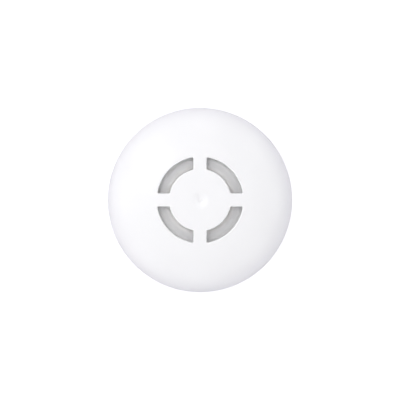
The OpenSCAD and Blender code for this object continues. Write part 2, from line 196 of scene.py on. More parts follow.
class Effects:
    """The shader node groups that the finishes share, each built once."""

    def __init__(self) -> None:
        """Build every group."""
        self.mould_skin = self._mould_skin()
        self.handling = self._handling()
        self.drawn_grain = self._drawn_grain()

    @staticmethod
    def _mould_skin() -> NodeTree:
        """Make the fine spark-eroded texture of a moulding, with slow flow marks under it.

        Returns:
            A group that puts out Height and Tone, both from 0 to 1.
        """
        bench, given, out = shader_group(
            "mould_skin", {"Vector": None, "Grain": 2600.0, "Flow": 60.0}, ("Height", "Tone")
        )
        fine = bench.noise(given["Vector"], given["Grain"], 3.0, 0.6)
        flow = bench.noise(given["Vector"], given["Flow"], 2.0, 0.45)
        grains = bench.maths("MULTIPLY", fine, 0.65)
        bench.feed(out["Height"], bench.maths("MULTIPLY_ADD", flow, 0.35, grains))
        bench.feed(out["Tone"], bench.band(flow, 0.3, 0.7, 0.0, 1.0))
        return bench.tree

    @staticmethod
    def _handling() -> NodeTree:
        """Make the marks of hands and storage: soft smudges and a few fine specks of dust.

        Returns:
            A group that puts out Smudge and Dust, both masks from 0 to 1.
        """
        bench, given, out = shader_group(
            "handling", {"Vector": None, "Smudge size": 90.0, "Dust size": 900.0}, ("Smudge", "Dust")
        )
        smear = bench.noise(given["Vector"], given["Smudge size"], 4.0, 0.55)
        bench.feed(out["Smudge"], bench.band(smear, 0.48, 0.72, 0.0, 1.0))
        specks = bench.noise(given["Vector"], given["Dust size"], 1.0, 0.5)
        bench.feed(out["Dust"], bench.band(specks, 0.7, 0.78, 0.0, 1.0))
        return bench.tree

    @staticmethod
    def _drawn_grain() -> NodeTree:
        """Make the fine lines of rolled or drawn metal, along the vector's X.

        Returns:
            A group that puts out Lines and Stain, both from 0 to 1.
        """
        bench, given, out = shader_group(
            "drawn_grain", {"Vector": None, "Line": 5200.0, "Stain size": 160.0}, ("Lines", "Stain")
        )
        times = {"operation": "MULTIPLY"}
        stretched = bench.out("ShaderNodeVectorMath", times, i0=given["Vector"], i1=(0.06, 1, 1))
        lines = bench.noise(stretched, given["Line"], 2.0, 0.6)
        bench.feed(out["Lines"], lines)
        stain = bench.noise(given["Vector"], given["Stain size"], 3.0, 0.5)
        bench.feed(out["Stain"], bench.band(stain, 0.35, 0.7, 0.0, 1.0))
        return bench.tree


def principled(name: str) -> tuple[Material, NodeBench, Node]:
    """Start a material with an empty Principled BSDF.

    Args:
        name: the material's name.

    Returns:
        The material, a bench on its tree, and the shader node.
    """
    material = bpy.data.materials.new(name)
    material.use_nodes = True
    bench = NodeBench(material.node_tree)
    shader = material.node_tree.nodes["Principled BSDF"]
    return material, bench, shader


def use_group(bench: NodeBench, tree: NodeTree, **inputs: object) -> dict[str, NodeSocket]:
    """Place a shader group in a material, and return its outputs by name."""
    node = bench.add("ShaderNodeGroup", {"node_tree": tree}, **inputs)
    return dict(node.outputs.items())


def blended(bench: NodeBench, share: object, first: Colour, second: Colour) -> NodeSocket:
    """Mix two colours by a mask.

    Args:
        bench: the material's bench.
        share: how much of the second colour shows, from 0 to 1.
        first: the main colour, linear.
        second: the other colour, linear.

    Returns:
        The mixed colour.
    """
    node = bench.add("ShaderNodeMix", {"data_type": "RGBA"})
    bench.feed(node.inputs["Factor"], share)
    bench.feed(node.inputs[6], (*first, 1.0))
    bench.feed(node.inputs[7], (*second, 1.0))
    return node.outputs[2]


def raised(bench: NodeBench, shader: Node, height: object, strength: float, depth: float) -> None:
    """Give a shader a bump from a height of 0 to 1, whose depth is in metres."""
    bump = bench.add("ShaderNodeBump", Strength=strength, Distance=depth, Height=height)
    bench.feed(shader.inputs["Normal"], bump.outputs["Normal"])


@dataclass(frozen=True)
class Moulding:
    """Moulded plastic: an even colour with faint flow tone, smudges, dust and a fine texture."""

    name: str
    colour: Colour
    shade: Colour
    gloss: tuple[float, float] = (0.42, 0.52)
    grain: float = 2600.0
    depth: float = 0.000012
    dust: float = 0.0
    clear: float = 0.0
    coat: float = 0.0
    shine: float = 0.45

    def material(self, effects: Effects) -> Material:
        """Make the material.

        Args:
            effects: the shared shader groups.

        Returns:
            The finished material.
        """
        material, bench, shader = principled(self.name)
        place = bench.add("ShaderNodeTexCoord").outputs["Object"]
        skin = use_group(bench, effects.mould_skin, Vector=place, Grain=self.grain)
        marks = use_group(bench, effects.handling, Vector=place)
        tone = bench.maths("MULTIPLY", skin["Tone"], 0.5)
        share = bench.maths("MULTIPLY_ADD", marks["Dust"], self.dust, tone)
        bench.feed(shader.inputs["Base Color"], blended(bench, share, self.colour, self.shade))
        low, high = self.gloss
        rough = bench.maths("MULTIPLY_ADD", marks["Smudge"], high - low, low)
        bench.feed(shader.inputs["Roughness"], rough)
        shader.inputs["Transmission Weight"].default_value = self.clear
        shader.inputs["Coat Weight"].default_value = self.coat
        shader.inputs["Specular IOR Level"].default_value = self.shine
        raised(bench, shader, skin["Height"], 0.35, self.depth)
        return material


@dataclass(frozen=True)
class Metal:
    """Rolled, drawn or plated metal: fine lines, and patches that have gone dull."""

    name: str
    colour: Colour
    tarnish: Colour
    gloss: tuple[float, float] = (0.22, 0.4)
    line: float = 5200.0
    depth: float = 0.000006
    turn: Point = (0.0, 0.0, 0.0)

    def material(self, effects: Effects) -> Material:
        """Make the material.

        Args:
            effects: the shared shader groups.

        Returns:
            The finished material.
        """
        material, bench, shader = principled(self.name)
        place = bench.add("ShaderNodeTexCoord").outputs["Object"]
        turned = bench.out("ShaderNodeMapping", Vector=place, Rotation=self.turn)
        grain = use_group(bench, effects.drawn_grain, Vector=turned, Line=self.line)
        lines = bench.maths("MULTIPLY", grain["Lines"], 0.25)
        share = bench.maths("MULTIPLY_ADD", grain["Stain"], 0.6, lines)
        bench.feed(shader.inputs["Base Color"], blended(bench, share, self.colour, self.tarnish))
        low, high = self.gloss
        bench.feed(shader.inputs["Roughness"], bench.maths("MULTIPLY_ADD", grain["Stain"], high - low, low))
        shader.inputs["Metallic"].default_value = 1.0
        raised(bench, shader, grain["Lines"], 0.3, self.depth)
        return material


@dataclass(frozen=True)
class MilkyRing:
    """The light ring's milky plastic: light spreads inside it, and its colour is painted lighter along both
    edges, as painted light that cancels the shade the slot walls cast there.
    """

    name: str = "diffuser"
    middle: Colour = (0.78, 0.78, 0.79)
    # painted light: the lighter colour along both edges of the ring, set against the shade that the slot
    # walls cast on it
    edge: Colour = (0.95, 0.95, 0.955)
    middle_radius: float = 0.0131
    painted_light_span: tuple[float, float] = (0.0005, 0.0018)
    scatter: float = 0.004

    def material(self, effects: Effects) -> Material:
        """Make the material.

        Args:
            effects: the shared shader groups.

        Returns:
            The finished material.
        """
        material, bench, shader = principled(self.name)
        place = bench.add("ShaderNodeTexCoord").outputs["Object"]
        flat = bench.out("ShaderNodeVectorMath", {"operation": "MULTIPLY"}, i0=place, i1=(1, 1, 0))
        across = bench.add("ShaderNodeVectorMath", {"operation": "LENGTH"}, i0=flat).outputs["Value"]
        away = bench.maths("ABSOLUTE", bench.maths("SUBTRACT", across, self.middle_radius))
        # painted light: the colour turns lighter towards both edges of the ring, to cancel the shade cast by
        # the slot walls
        clear = bench.band(away, *self.painted_light_span, 0.0, 1.0)
        bench.feed(shader.inputs["Base Color"], blended(bench, clear, self.middle, self.edge))
        skin = use_group(bench, effects.mould_skin, Vector=place, Grain=3400.0)
        marks = use_group(bench, effects.handling, Vector=place)
        bench.feed(shader.inputs["Roughness"], bench.maths("MULTIPLY_ADD", marks["Smudge"], 0.1, 0.5))
        shader.inputs["Subsurface Weight"].default_value = 1.0
        shader.inputs["Subsurface Radius"].default_value = (1.0, 1.0, 1.0)
        shader.inputs["Subsurface Scale"].default_value = self.scatter
        raised(bench, shader, skin["Height"], 0.35, 0.00001)
        return material


@dataclass(frozen=True)
class BoardLaminate:
    """Glass-cloth laminate under a green solder mask, with the copper tracks just showing through."""

    name: str = "board_laminate"
    mask: Colour = (0.012, 0.11, 0.05)
    over_copper: Colour = (0.03, 0.2, 0.08)
    track_pitch: float = 420.0
    weave: float = 1900.0

    def material(self, effects: Effects) -> Material:
        """Make the material.

        Args:
            effects: the shared shader groups.

        Returns:
            The finished material.
        """
        material, bench, shader = principled(self.name)
        place = bench.add("ShaderNodeTexCoord").outputs["Object"]
        kind = {"distance": "MANHATTAN", "feature": "F2"}
        cells = bench.add("ShaderNodeTexVoronoi", kind, Vector=place, Scale=self.track_pitch)
        tracks = bench.band(cells.outputs["Distance"], 0.62, 0.66, 0.0, 1.0)
        bench.feed(shader.inputs["Base Color"], blended(bench, tracks, self.mask, self.over_copper))
        cloth = bench.add("ShaderNodeTexChecker", Vector=place, Scale=self.weave).outputs["Fac"]
        marks = use_group(bench, effects.handling, Vector=place)
        bench.feed(shader.inputs["Roughness"], bench.maths("MULTIPLY_ADD", marks["Smudge"], 0.15, 0.28))
        shader.inputs["Coat Weight"].default_value = 0.3
        height = bench.maths("MULTIPLY_ADD", tracks, 0.7, bench.maths("MULTIPLY", cloth, 0.12))
        raised(bench, shader, height, 0.5, 0.00003)
        return material


FINISHES = (
    Moulding("white_shell", (0.865, 0.863, 0.882), (0.85, 0.848, 0.868), (0.36, 0.44), 2600.0, 0.000008),
    Moulding("white_plate", (0.8, 0.8, 0.79), (0.76, 0.76, 0.74), (0.5, 0.6), 2200.0, 0.000014, 0.1),
    Moulding("natural_frame", (0.74, 0.73, 0.69), (0.7, 0.69, 0.64), (0.45, 0.6), 2000.0, 0.000014, 0.1),
    MilkyRing(),
    Moulding("chamber_black", (0.008, 0.008, 0.009), (0.014, 0.014, 0.015), (0.6, 0.8), 3000.0, 0.00003, 0.2),
    BoardLaminate(),
    Moulding("component_black", (0.014, 0.014, 0.016), (0.03, 0.03, 0.032), (0.45, 0.6), 5200.0, 0.00002),
    Moulding("component_grey", (0.2, 0.2, 0.21), (0.16, 0.16, 0.17), (0.4, 0.55), 4200.0, 0.00001),
    Moulding("thermistor_bead", (0.16, 0.045, 0.012), (0.1, 0.03, 0.01), (0.12, 0.25), 1800.0, 0.00003,
             coat=0.6),
    Moulding("clear_lens", (0.8, 0.86, 0.92), (0.74, 0.8, 0.88), (0.06, 0.16), 1500.0, 0.000004, clear=0.85),
    Moulding("dark_lens", (0.01, 0.01, 0.03), (0.02, 0.015, 0.04), (0.06, 0.16), 1500.0, 0.000004, coat=0.7),
    Moulding("lamp_white", (0.8, 0.77, 0.5), (0.82, 0.8, 0.62), (0.25, 0.4), 4000.0, 0.00001),
    Moulding("cell_sleeve", (0.02, 0.07, 0.24), (0.015, 0.05, 0.18), (0.18, 0.32), 700.0, 0.00004, coat=0.4),
    Moulding("ferrite", (0.035, 0.036, 0.038), (0.06, 0.06, 0.062), (0.5, 0.7), 3600.0, 0.00004),
    Moulding("piezo_white", (0.6, 0.59, 0.55), (0.52, 0.51, 0.47), (0.3, 0.45), 3800.0, 0.00001),
    Metal("stainless_mesh", (0.56, 0.57, 0.58), (0.4, 0.4, 0.4)),
    Metal("tinned_steel", (0.66, 0.66, 0.65), (0.5, 0.49, 0.46), (0.25, 0.45)),
    Metal("nickel_strip", (0.66, 0.62, 0.55), (0.5, 0.46, 0.4), (0.2, 0.38)),
    Metal("spring_steel", (0.5, 0.5, 0.51), (0.36, 0.35, 0.33), (0.2, 0.35)),
    Metal("screw_steel", (0.6, 0.6, 0.6), (0.46, 0.45, 0.42), (0.25, 0.42)),
    Metal("disc_brass", (0.78, 0.55, 0.2), (0.6, 0.4, 0.16), (0.2, 0.4)),
    Metal("contact_gold", (0.86, 0.62, 0.24), (0.7, 0.48, 0.2), (0.16, 0.3)),
    Metal("copper_wire", (0.7, 0.3, 0.13), (0.56, 0.2, 0.08), (0.16, 0.3)),
    Metal("capacitor_can", (0.72, 0.73, 0.75), (0.58, 0.59, 0.6), (0.25, 0.42), turn=(0.0, math.pi / 2, 0.0)),
    Metal("cell_steel", (0.6, 0.61, 0.62), (0.46, 0.46, 0.45), (0.22, 0.4)),
)


class Palette:
    """All the finished materials by slot name."""

    def __init__(self, effects: Effects) -> None:
        """Make every finish.

        Args:
            effects: the shared shader groups.
        """
        self.materials = {finish.name: finish.material(effects) for finish in FINISHES}
        self.materials["board_green"] = self.materials.pop("board_laminate")

    def of_node(self, node: str) -> tuple[str, Material]:
        """Return the slot name and the material of a CAD node."""
        slots = {part["node"]: part["material_slot"] for part in frame["record"]["subparts"]}
        return slots[node], self.materials[slots[node]]


# ---------------------------------------------------------------------------
# Geometry helpers, in millimetres until a mesh is made
# ---------------------------------------------------------------------------


def arc(centre: Spot, radius: float, start: float, end: float, steps: int) -> list[Spot]:
    """Walk along an arc between two angles in radians, without its last point."""
    angles = [start + (end - start) * i / steps for i in range(steps)]
    return [(centre[0] + radius * math.cos(a), centre[1] + radius * math.sin(a)) for a in angles]


def polar(radius: float, degrees: float) -> Spot:
    """Give the point at a radius and an angle about the Z axis."""
    return radius * math.cos(math.radians(degrees)), radius * math.sin(math.radians(degrees))


def oblong(left: float, front: float, right: float, back: float) -> list[Spot]:
    """Give the corners of an upright rectangle, anticlockwise."""
    return [(left, front), (right, front), (right, back), (left, back)]


def straight(start: Spot, end: Spot, steps: int) -> list[Spot]:
    """Walk along a line in equal steps, without its last point."""
    return [tuple(a + (b - a) * i / steps for a, b in zip(start, end)) for i in range(steps)]


def eased(outline: Sequence[Point], steps: int = 4, closed: bool = False) -> list[Spot]:
    """Round the corners of an outline.

    Args:
        outline: points as x, y and the radius of the corner there, 0 for a sharp one.
        steps: how many steps an arc takes.
        closed: whether the last point joins the first.

    Returns:
        The rounded outline.
    """
    out: list[tuple[float, float]] = []
    count = len(outline)
    for i, (x, y, radius) in enumerate(outline):
        here = Vector((x, y))
        if radius <= 0 or (not closed and i in (0, count - 1)):
            out.append((x, y))
            continue
        back = Vector(outline[i - 1][:2]) - here
        ahead = Vector(outline[(i + 1) % count][:2]) - here
        half = back.angle(ahead) / 2
        reach = min(radius / math.tan(half), 0.49 * back.length, 0.49 * ahead.length)
        fitted = reach * math.tan(half)
        centre = here + (back.normalized() + ahead.normalized()).normalized() * (fitted / math.sin(half))
        first = here + back.normalized() * reach - centre
        last = here + ahead.normalized() * reach - centre
        sweep = first.angle_signed(last)
        for k in range(steps + 1):
            spoke = first.copy()
            spoke.rotate(Matrix.Rotation(-sweep * k / steps, 2))
            out.append(tuple(centre + spoke))
    return out


def linked(name: str, mesh: Mesh) -> Object:
    """Put a mesh into the scene as an object.

    Args:
        name: the object's name.
        mesh: its mesh.

    Returns:
        The object.
    """
    piece = bpy.data.objects.new(name, mesh)
    bpy.context.scene.collection.objects.link(piece)
    return piece


class Draft:
    """A mesh being drawn in millimetres: shared points, faces, and named values on the points."""

    def __init__(self) -> None:
        """Start empty."""
        self.points: list[Point] = []
        self.faces: list[tuple[int, ...]] = []
        self.values: dict[str, list[float]] = {}
        self.known: dict[tuple, int] = {}

    def point(self, x: float, y: float, z: float, **values: float) -> int:
        """Add a point, or find the one already there.

        Args:
            x: its X.
            y: its Y.
            z: its Z.
            **values: named values kept with the point.

        Returns:
            Its index.
        """
        key = (round(x, 4), round(y, 4), round(z, 4), tuple(sorted(values.items())))
        if key not in self.known:
            self.known[key] = len(self.points)
            self.points.append((x, y, z))
            for name, value in values.items():
                self.values.setdefault(name, []).append(value)
        return self.known[key]

    def join(self, first: Sequence[int], second: Sequence[int], closed: bool = True) -> None:
        """Fill between two loops of equally many points with quads.

        Args:
            first: one loop of point indices.
            second: the other loop.
            closed: whether the loops close on themselves.
        """
        count = len(first)
        for i in range(count if closed else count - 1):
            j = (i + 1) % count
            corners = (first[i], first[j], second[j], second[i])
            kept = tuple(dict.fromkeys(corners))
            if len(kept) > 2:
                self.faces.append(kept)

    def lofted(self, loops: Sequence[Sequence[int]], closed: bool = True) -> None:
        """Fill between each loop and the next."""
        for first, second in zip(loops, loops[1:]):
            self.join(first, second, closed)

    def turned(self, outline: Sequence[Spot], count: int, centre: Spot = (0, 0)) -> "Draft":
        """Turn an outline of radius and height about a vertical axis; points on the axis become poles.

        Args:
            outline: points as radius and height.
            count: how many columns the turned shape has.
            centre: the axis's X and Y.

        Returns:
            The draft itself.
        """
        loops = []
        for r, z in outline:
            if r < AXIS:
                loops.append([self.point(*centre, z)] * count)
            else:
                loops.append([self.point(*spot, z) for spot in arc(centre, r, 0, math.tau, count)])
        self.lofted(loops)
        if outline[0][0] > AXIS and outline[0] != outline[-1]:
            self.join(loops[-1], loops[0])
        return self

    def prism(self, outline: Sequence[Spot], low: float, high: float, edge: float = 0.0) -> "Draft":
        """Raise a flat outline into a block, with its upper and lower edges rounded a little.

        Args:
            outline: the plan, without holes, anticlockwise.
            low: the height of its underside.
            high: the height of its top.
            edge: how far the rounding goes in from each edge.

        Returns:
            The draft itself.
        """
        middle = Vector((sum(p[0] for p in outline), sum(p[1] for p in outline))) / len(outline)
        levels = [(low, edge), (low + edge * 0.3, edge * 0.3), (low + edge, 0.0)]
        levels += [(high - edge, 0.0), (high - edge * 0.3, edge * 0.3), (high, edge)]
        if edge <= 0:
            levels = [(low, 0.0), (high, 0.0)]
        loops = []
        for z, inset in levels:
            ring = []
            for p in outline:
                away = Vector(p) - middle
                scaled = middle + away * max(0.05, 1 - inset / max(away.length, 1e-6))
                ring.append(self.point(scaled.x, scaled.y, z))
            loops.append(ring)
        self.lofted(loops)
        self.faces.append(tuple(reversed(loops[0])))
        self.faces.append(tuple(loops[-1]))
        return self

    def object(self, name: str, sharp: float = CRISP_FROM) -> Object:
        """Make the mesh object, in metres, closed and facing outwards.

        Args:
            name: the object's name.
            sharp: edges that bend by more than this many degrees stay crisp.

        Returns:
            The new object.
        """
        mesh = bpy.data.meshes.new(name)
        mesh.from_pydata([tuple(c * MM for c in p) for p in self.points], [], self.faces)
        for key, values in self.values.items():
            layer = mesh.attributes.new(key, "FLOAT", "POINT")
            layer.data.foreach_set("value", values)
        piece = linked(name, mesh)
        smoothed(piece, sharp)
        return piece


def smoothed(piece: Object, sharp: float = CRISP_FROM) -> None:
    """Recalculate a closed mesh's normals, shade it smooth, and keep its real corners crisp.

    Args:
        piece: the mesh object.
        sharp: edges that bend by more than this many degrees stay crisp.
    """
    shape = bmesh.new()
    shape.from_mesh(piece.data)
    bmesh.ops.recalc_face_normals(shape, faces=shape.faces)
    for edge in shape.edges:
        edge.smooth = len(edge.link_faces) != 2 or edge.calc_face_angle(0.0) < math.radians(sharp)
    for face in shape.faces:
        face.smooth = True
    shape.to_mesh(piece.data)
    shape.free()


def settled(piece: Object) -> Object:
    """Apply an object's modifiers and leave it a plain mesh.

    Args:
        piece: the object with its modifiers.

    Returns:
        The same object.
    """
    view = bpy.context.evaluated_depsgraph_get()
    view.update()
    mesh = bpy.data.meshes.new_from_object(piece.evaluated_get(view), depsgraph=view)
    piece.modifiers.clear()
    old = piece.data
    piece.data = mesh
    mesh.name = piece.name
    bpy.data.meshes.remove(old)
    return piece


def grown(piece: Object, tree: NodeTree, **inputs: object) -> Object:
    """Run a geometry node tree on an object and leave the result as a plain mesh.

    Args:
        piece: the object that the tree starts from.
        tree: the geometry node tree.
        **inputs: the tree's input names, with _ for a space, and their values.

    Returns:
        The same object.
    """
    modifier = piece.modifiers.new(tree.name, "NODES")
    modifier.node_group = tree
    sockets = {s.name: s.identifier for s in tree.interface.items_tree if s.in_out == "INPUT"}
    for name, value in inputs.items():
        modifier[sockets[name.replace("_", " ")]] = value
    return settled(piece)


def merged(name: str, pieces: Sequence[Object]) -> Object:
    """Put several settled objects of one solid into one object.

    Args:
        name: the new object's name.
        pieces: the objects, which are removed.

    Returns:
        The new object.
    """
    shape = bmesh.new()
    for piece in pieces:
        shape.from_mesh(piece.data)
        bpy.data.objects.remove(piece)
    mesh = bpy.data.meshes.new(name)
    shape.to_mesh(mesh)
    shape.free()
    return linked(name, mesh)


def cut(piece: Object, tools: Sequence[Object]) -> Object:
    """Cut tools out of a piece, and remove the tools.

    Args:
        piece: the closed object to cut.
        tools: closed objects to take away.

    Returns:
        The same object.
    """
    for tool in tools:
        modifier = piece.modifiers.new("cut", "BOOLEAN")
        modifier.operation = "DIFFERENCE"
        modifier.solver = "EXACT"
        modifier.object = tool
    settled(piece)
    for tool in tools:
        bpy.data.objects.remove(tool)
    return piece


def softened(node: str, name: str, edge: float, steps: int = 2) -> Object:
    """Copy a CAD node and round its edges as a mould or a press leaves them.

    Args:
        node: the CAD node's name.
        name: the new object's name.
        edge: the width of the rounding, in millimetres.
        steps: how many steps the rounding takes.

    Returns:
        The new object.
    """
    shape = bmesh.new()
    shape.from_mesh(frame["nodes"][node].data)
    bmesh.ops.remove_doubles(shape, verts=shape.verts, dist=0.002 * MM)
    bmesh.ops.dissolve_limit(shape, angle_limit=math.radians(1), verts=shape.verts, edges=shape.edges)
    mesh = bpy.data.meshes.new(name)
    shape.to_mesh(mesh)
    shape.free()
    piece = linked(name, mesh)
    bevel = piece.modifiers.new("edges", "BEVEL")
    bevel.width = edge * MM
    bevel.segments = steps
    bevel.limit_method = "ANGLE"
    bevel.angle_limit = math.radians(BEVELLED_FROM)
    bevel.use_clamp_overlap = True
    settled(piece)
    for face in piece.data.polygons:
        face.use_smooth = True
    piece.data.set_sharp_from_angle(angle=math.radians(CRISP_FROM))
    return piece


# ---------------------------------------------------------------------------
# Geometry node trees
# ---------------------------------------------------------------------------


def growth(name: str, inputs: dict[str, object]) -> tuple[NodeBench, dict, NodeSocket]:
    """Start a geometry node tree with named inputs.

    Args:
        name: the tree's name.
        inputs: input name to its default: a float, an int, a 3-tuple, or a socket type's name.

    Returns:
        The bench, the inputs by name, and the output geometry socket.
    """
    tree = bpy.data.node_groups.new(name, "GeometryNodeTree")
    tree.is_modifier = True
    tree.interface.new_socket("Geometry", in_out="INPUT", socket_type="NodeSocketGeometry")
    kinds = {float: "NodeSocketFloat", int: "NodeSocketInt", tuple: "NodeSocketVector"}
    for key, value in inputs.items():
        if isinstance(value, str):
            tree.interface.new_socket(key, in_out="INPUT", socket_type=value)
            continue
        socket = tree.interface.new_socket(key, in_out="INPUT", socket_type=kinds[type(value)])
        socket.default_value = value
    tree.interface.new_socket("Geometry", in_out="OUTPUT", socket_type="NodeSocketGeometry")
    bench = NodeBench(tree)
    source = bench.add("NodeGroupInput")
    sink = bench.add("NodeGroupOutput")
    return bench, dict(source.outputs.items()), sink.inputs["Geometry"]


def delivered(bench: NodeBench, geometry: object, given: dict, sink: NodeSocket) -> NodeTree:
    """End a geometry node tree: real geometry, with the material of its input Finish.

    Args:
        bench: the bench the tree is built on.
        geometry: the geometry to finish.
        given: the tree's inputs by name.
        sink: where the finished geometry goes.

    Returns:
        The tree.
    """
    real = bench.out("GeometryNodeRealizeInstances", Geometry=geometry)
    finished = bench.out("GeometryNodeSetMaterial", Geometry=real, Material=given["Finish"])
    bench.feed(sink, finished)
    return bench.tree


class Growths:
    """The geometry node trees that the pieces are grown with."""

    def __init__(self) -> None:
        """Build every tree."""
        self.pebble = self._pebble()
        self.round_array = self._round_array()
        self.coils = self._coils()
        self.etched_band = self._etched_band()

    @staticmethod
    def _pebble() -> NodeTree:
        """Lift a flat plan onto a pebble dome.

        Each point's height follows a superellipse of its distance from the axis. The point value skin
        says how far through the wall it lies, on_dome whether it is lifted, and drop how far it is let down.

        Returns:
            The tree.
        """
        bench, given, sink = growth("pebble_dome", {
            "Waist height": 0.011, "Power": 2.5, "Outer radius": 0.0325, "Outer rise": 0.017,
            "Inner radius": 0.0306, "Inner rise": 0.015, "Dimple radius": 0.0046, "Dimple depth": 0.0003,
            "Well radius": 0.0019, "Well depth": 0.0003, "Gate radius": 0.0006, "Gate height": 0.0001,
            "Finish": "NodeSocketMaterial",
        })
        place = bench.out("GeometryNodeInputPosition")
        parts = bench.add("ShaderNodeSeparateXYZ", i0=place).outputs
        depth_square = bench.maths("MULTIPLY", parts[1], parts[1])
        across = bench.maths("SQRT", bench.maths("MULTIPLY_ADD", parts[0], parts[0], depth_square))

        def value_of(key: str) -> NodeSocket:
            """Read a named point value."""
            return bench.out("GeometryNodeInputNamedAttribute", {"data_type": "FLOAT"}, Name=key)

        def rise(radius: object, height: object) -> NodeSocket:
            """Give the superellipse's height at this distance from the axis.

        Args:
            radius: the dome's radius at its foot.
            height: the dome's height at its pole.

        Returns:
            The height.
        """
            share = bench.maths("POWER", bench.maths("DIVIDE", across, radius), given["Power"])
            left = bench.maths("MAXIMUM", bench.maths("SUBTRACT", 1.0, share), 0.0)
            root = bench.maths("POWER", left, bench.maths("DIVIDE", 1.0, given["Power"]))
            return bench.maths("MULTIPLY", height, root)

        def bowl(radius: object, depth: object) -> NodeSocket:
            """Give a soft-edged bowl's depth at this distance from the axis.

        Args:
            radius: the bowl's radius.
            depth: its depth on the axis.

        Returns:
            The depth.
        """
            share = bench.maths("DIVIDE", across, radius)
            square = bench.maths("MULTIPLY", share, share)
            left = bench.maths("MAXIMUM", bench.maths("SUBTRACT", 1.0, square), 0.0)
            return bench.maths("MULTIPLY", depth, bench.maths("MULTIPLY", left, left))

        both = bench.maths("ADD", bowl(given["Dimple radius"], given["Dimple depth"]),
                           bowl(given["Well radius"], given["Well depth"]))
        dip = bench.maths("SUBTRACT", both, bowl(given["Gate radius"], given["Gate height"]))
        outer = bench.maths("SUBTRACT", rise(given["Outer radius"], given["Outer rise"]), dip)
        inner = rise(given["Inner radius"], given["Inner rise"])
        skin = value_of("skin")
        through = bench.maths("MULTIPLY_ADD", bench.maths("SUBTRACT", inner, outer), skin, outer)
        lifted = bench.maths("SUBTRACT", through, value_of("drop"))
        height = bench.add("GeometryNodeSwitch", {"input_type": "FLOAT"})
        on_dome = bench.out("FunctionNodeCompare", {"data_type": "FLOAT"}, A=value_of("on_dome"), B=0.5)
        bench.feed(height.inputs[0], on_dome)
        bench.feed(height.inputs[1], parts[2])
        bench.feed(height.inputs[2], lifted)
        final = bench.maths("ADD", height.outputs[0], given["Waist height"])
        spot = bench.out("ShaderNodeCombineXYZ", i0=parts[0], i1=parts[1], i2=final)
        moved = bench.out("GeometryNodeSetPosition", Geometry=given["Geometry"], Position=spot)
        return delivered(bench, moved, given, sink)

    @staticmethod
    def _round_array() -> NodeTree:
        """Repeat a piece round the Z axis, leaving out the places near two angles.

        Returns:
            The tree.
        """
        bench, given, sink = growth("round_array", {
            "Count": 12, "First": 0.0, "Step": 0.5236, "Leave out A": 0.0, "Leave out B": 0.0, "Clear": -1.0,
            "Fold": 1.0, "Centre": (0.0, 0.0, 0.0), "Finish": "NodeSocketMaterial",
        })
        dots = bench.out("GeometryNodePoints", Count=given["Count"], Position=given["Centre"])
        index = bench.out("GeometryNodeInputIndex")
        angle = bench.maths("MULTIPLY_ADD", index, given["Step"], given["First"])

        def far_from(key: str) -> NodeSocket:
            """Say whether the angle is clear of a named angle, and of its turned repeats.

        Args:
            key: the input that holds the named angle.

        Returns:
            True or false.
        """
            away = bench.maths("MULTIPLY", bench.maths("SUBTRACT", angle, given[key]), given["Fold"])
            limit = bench.maths("COSINE", bench.maths("MULTIPLY", given["Clear"], given["Fold"]))
            return bench.maths("LESS_THAN", bench.maths("COSINE", away), limit)

        free = bench.maths("MULTIPLY", far_from("Leave out A"), far_from("Leave out B"))
        every = bench.maths("LESS_THAN", given["Clear"], 0.0)
        chosen = bench.maths("MAXIMUM", free, every)
        turn = bench.out("ShaderNodeCombineXYZ", i2=angle)
        rotation = bench.out("FunctionNodeEulerToRotation", i0=turn)
        copies = bench.out("GeometryNodeInstanceOnPoints", Points=dots, Selection=chosen,
                           Instance=given["Geometry"], Rotation=rotation)
        real = bench.out("GeometryNodeRealizeInstances", Geometry=copies)
        welded = bench.out("GeometryNodeMergeByDistance", Geometry=real, Distance=0.000004)
        return delivered(bench, welded, given, sink)

    @staticmethod
    def _coils() -> NodeTree:
        """Stand a coil of round wire on every point of the starting mesh.

        Returns:
            The tree.
        """
        bench, given, sink = growth("wire_coils", {
            "Turns": 5.0, "First radius": 0.001, "Last radius": 0.001, "Height": 0.006, "Wire radius": 0.0002,
            "Tilt": (0.0, 0.0, 0.0), "Steps": 28, "Sides": 10, "Finish": "NodeSocketMaterial",
        })
        dots = bench.out("GeometryNodeMeshToPoints", Mesh=given["Geometry"])
        spiral = bench.out("GeometryNodeCurveSpiral", Resolution=given["Steps"], Rotations=given["Turns"],
                           Start_Radius=given["First radius"], End_Radius=given["Last radius"],
                           Height=given["Height"])
        wire = bench.out("GeometryNodeCurvePrimitiveCircle", Resolution=given["Sides"],
                         Radius=given["Wire radius"])
        tube = bench.out("GeometryNodeCurveToMesh", Curve=spiral, Profile_Curve=wire, Fill_Caps=True)
        rotation = bench.out("FunctionNodeEulerToRotation", i0=given["Tilt"])
        copies = bench.out("GeometryNodeInstanceOnPoints", Points=dots, Instance=tube,
                           Rotation=rotation)
        return delivered(bench, copies, given, sink)

